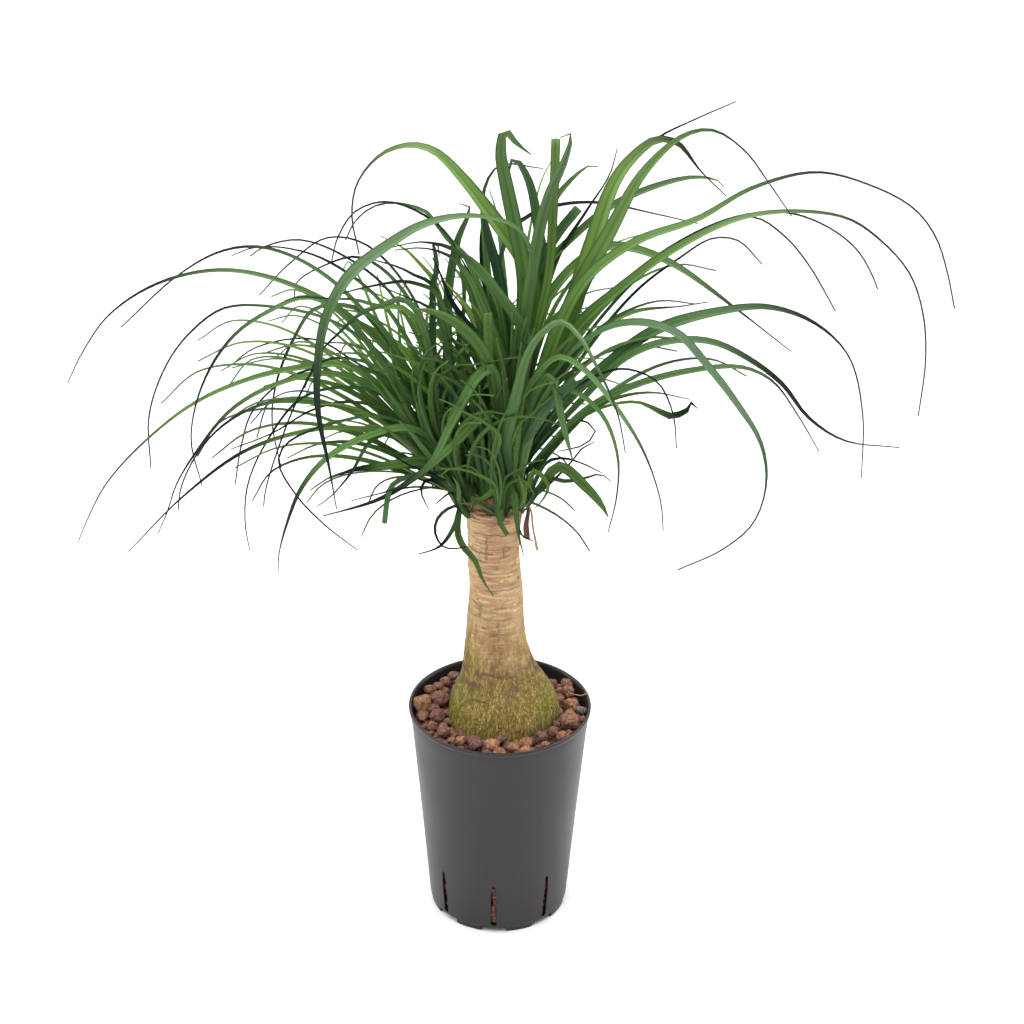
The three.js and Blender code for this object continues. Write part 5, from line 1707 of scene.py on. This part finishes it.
def stub_strip(head, index):
    """The brown base that an old leaf left at the foot of its stem."""
    turned = SPIRAL_TURN * index + STUB_TURN
    outward = np.array([math.cos(turned), math.sin(turned), 0])
    radius = 0.9 * HEADS[head][2]
    tall = mix(*STUB_HEIGHTS, spread(index, 77))
    foot = stem_point(head, 0.01) + outward * radius
    middle = stem_point(head, 0.18) + outward * (radius + 1)
    end = stem_point(head, tall / 80) + outward * (radius + mix(1, 5, spread(index, 78)))
    width = mix(4, 7.5, spread(index, 79))
    tone = 0.3 * spread(index, 80)
    return dry_strip([foot, middle, end], width, tone, 0.4, roll=0, form="late")


dry_strips = [
    dry_strip(DRY_SHEATH, 6.5, 0.0, 0.3),
    dry_strip(DRY_FLAKE, 2.6, 1.0, 0.8),
    dry_strip(DRY_FIBRE, 0.3, 0.7, 0.2),
]
dry_strips.extend(flake_strip(index) for index in range(FLAKE_COUNT))
for head, count in STUB_COUNTS.items():
    dry_strips.extend(stub_strip(head, index) for index in range(count))
leaf_piece("dried_leaves", dry_strips, dry_leaf, "dry_leaves")

# %% Root thread
# Column and row in the photograph, and height above the floor
THREAD_SIGHTS = [
    (569, 693, 187), (575, 694.5, 190), (581, 695.5, 191), (587, 693, 191), (588, 688, 188),
]
THREAD_RADII = (0.48, 0.24)
THREAD_ROWS = 30
THREAD_SIDES = 10
thread_route = smooth_route([through_pixel(*sight) for sight in THREAD_SIGHTS], THREAD_ROWS)
points, faces = tube(thread_route, np.linspace(*THREAD_RADII, THREAD_ROWS), THREAD_SIDES)
root_thread = add_piece("root_thread", points, faces, dry_leaf, "clay_pebbles")
add_values(root_thread, "tone", [0.8] * len(points))
print("root thread:", len(points), "points")

# %% [markdown]
# ## Floor and light
# The photograph was taken in a white studio: light from all around, and a soft shadow close
# to the pot. A large pale floor and an even white sky give that. A broad light overhead and one
# at the left above the camera light the leaves. Two tall ones at the sides draw the sheen on the
# pot, and one behind brightens the far floor.

# %% Floor
floor_paint, tree, surface = new_material("pale floor", 0.9)
surface.inputs["Base Color"].default_value = (0.93, 0.93, 0.93, 1)
FLOOR_CORNERS = [(-6, -6, 0), (6, -6, 0), (6, 6, 0), (-6, 6, 0)]
floor_mesh = bpy.data.meshes.new("floor")
floor_mesh.from_pydata(FLOOR_CORNERS, [], [(0, 1, 2, 3)])
floor_mesh.materials.append(floor_paint)
floor = bpy.data.objects.new("floor", floor_mesh)
bpy.context.scene.collection.objects.link(floor)
print("floor is", round(floor.dimensions.x, 1), "metres wide")


# %% Lights
def soft_light(name, place, target, width, height, power):
    """A light of this width and height that points at its target, in metres and watts."""
    data = bpy.data.lights.new(name, "AREA")
    data.shape = "RECTANGLE"
    data.size = width
    data.size_y = height
    data.energy = power
    light = bpy.data.objects.new(name, data)
    light.location = place
    light.rotation_euler = (Vector(target) - Vector(place)).to_track_quat("-Z", "Y").to_euler()
    bpy.context.scene.collection.objects.link(light)


soft_light("overhead light", (0, -0.3, 2.8), (0, -0.3, 0), 3.0, 3.0, 118)
soft_light("key light", (-1.2, -2.2, 2.2), (0, 0, 0.35), 1.2, 1.2, 24)
soft_light("left strip", (-1.5, 0.3, 0.8), (0, 0, 0.2), 0.5, 1.6, 14)
soft_light("right strip", (1.5, 0.3, 0.8), (0, 0, 0.2), 0.5, 1.6, 14)
soft_light("far floor light", (0, 3.4, 3.0), (0, 2.6, 0), 4.0, 2.0, 95)
world = bpy.data.worlds.new("white studio")
world.use_nodes = True
sky = world.node_tree.nodes["Background"]
sky.inputs["Color"].default_value = (1, 1, 1, 1)
sky.inputs["Strength"].default_value = 0.22
bpy.context.scene.world = world
bpy.context.scene.view_settings.view_transform = "Standard"
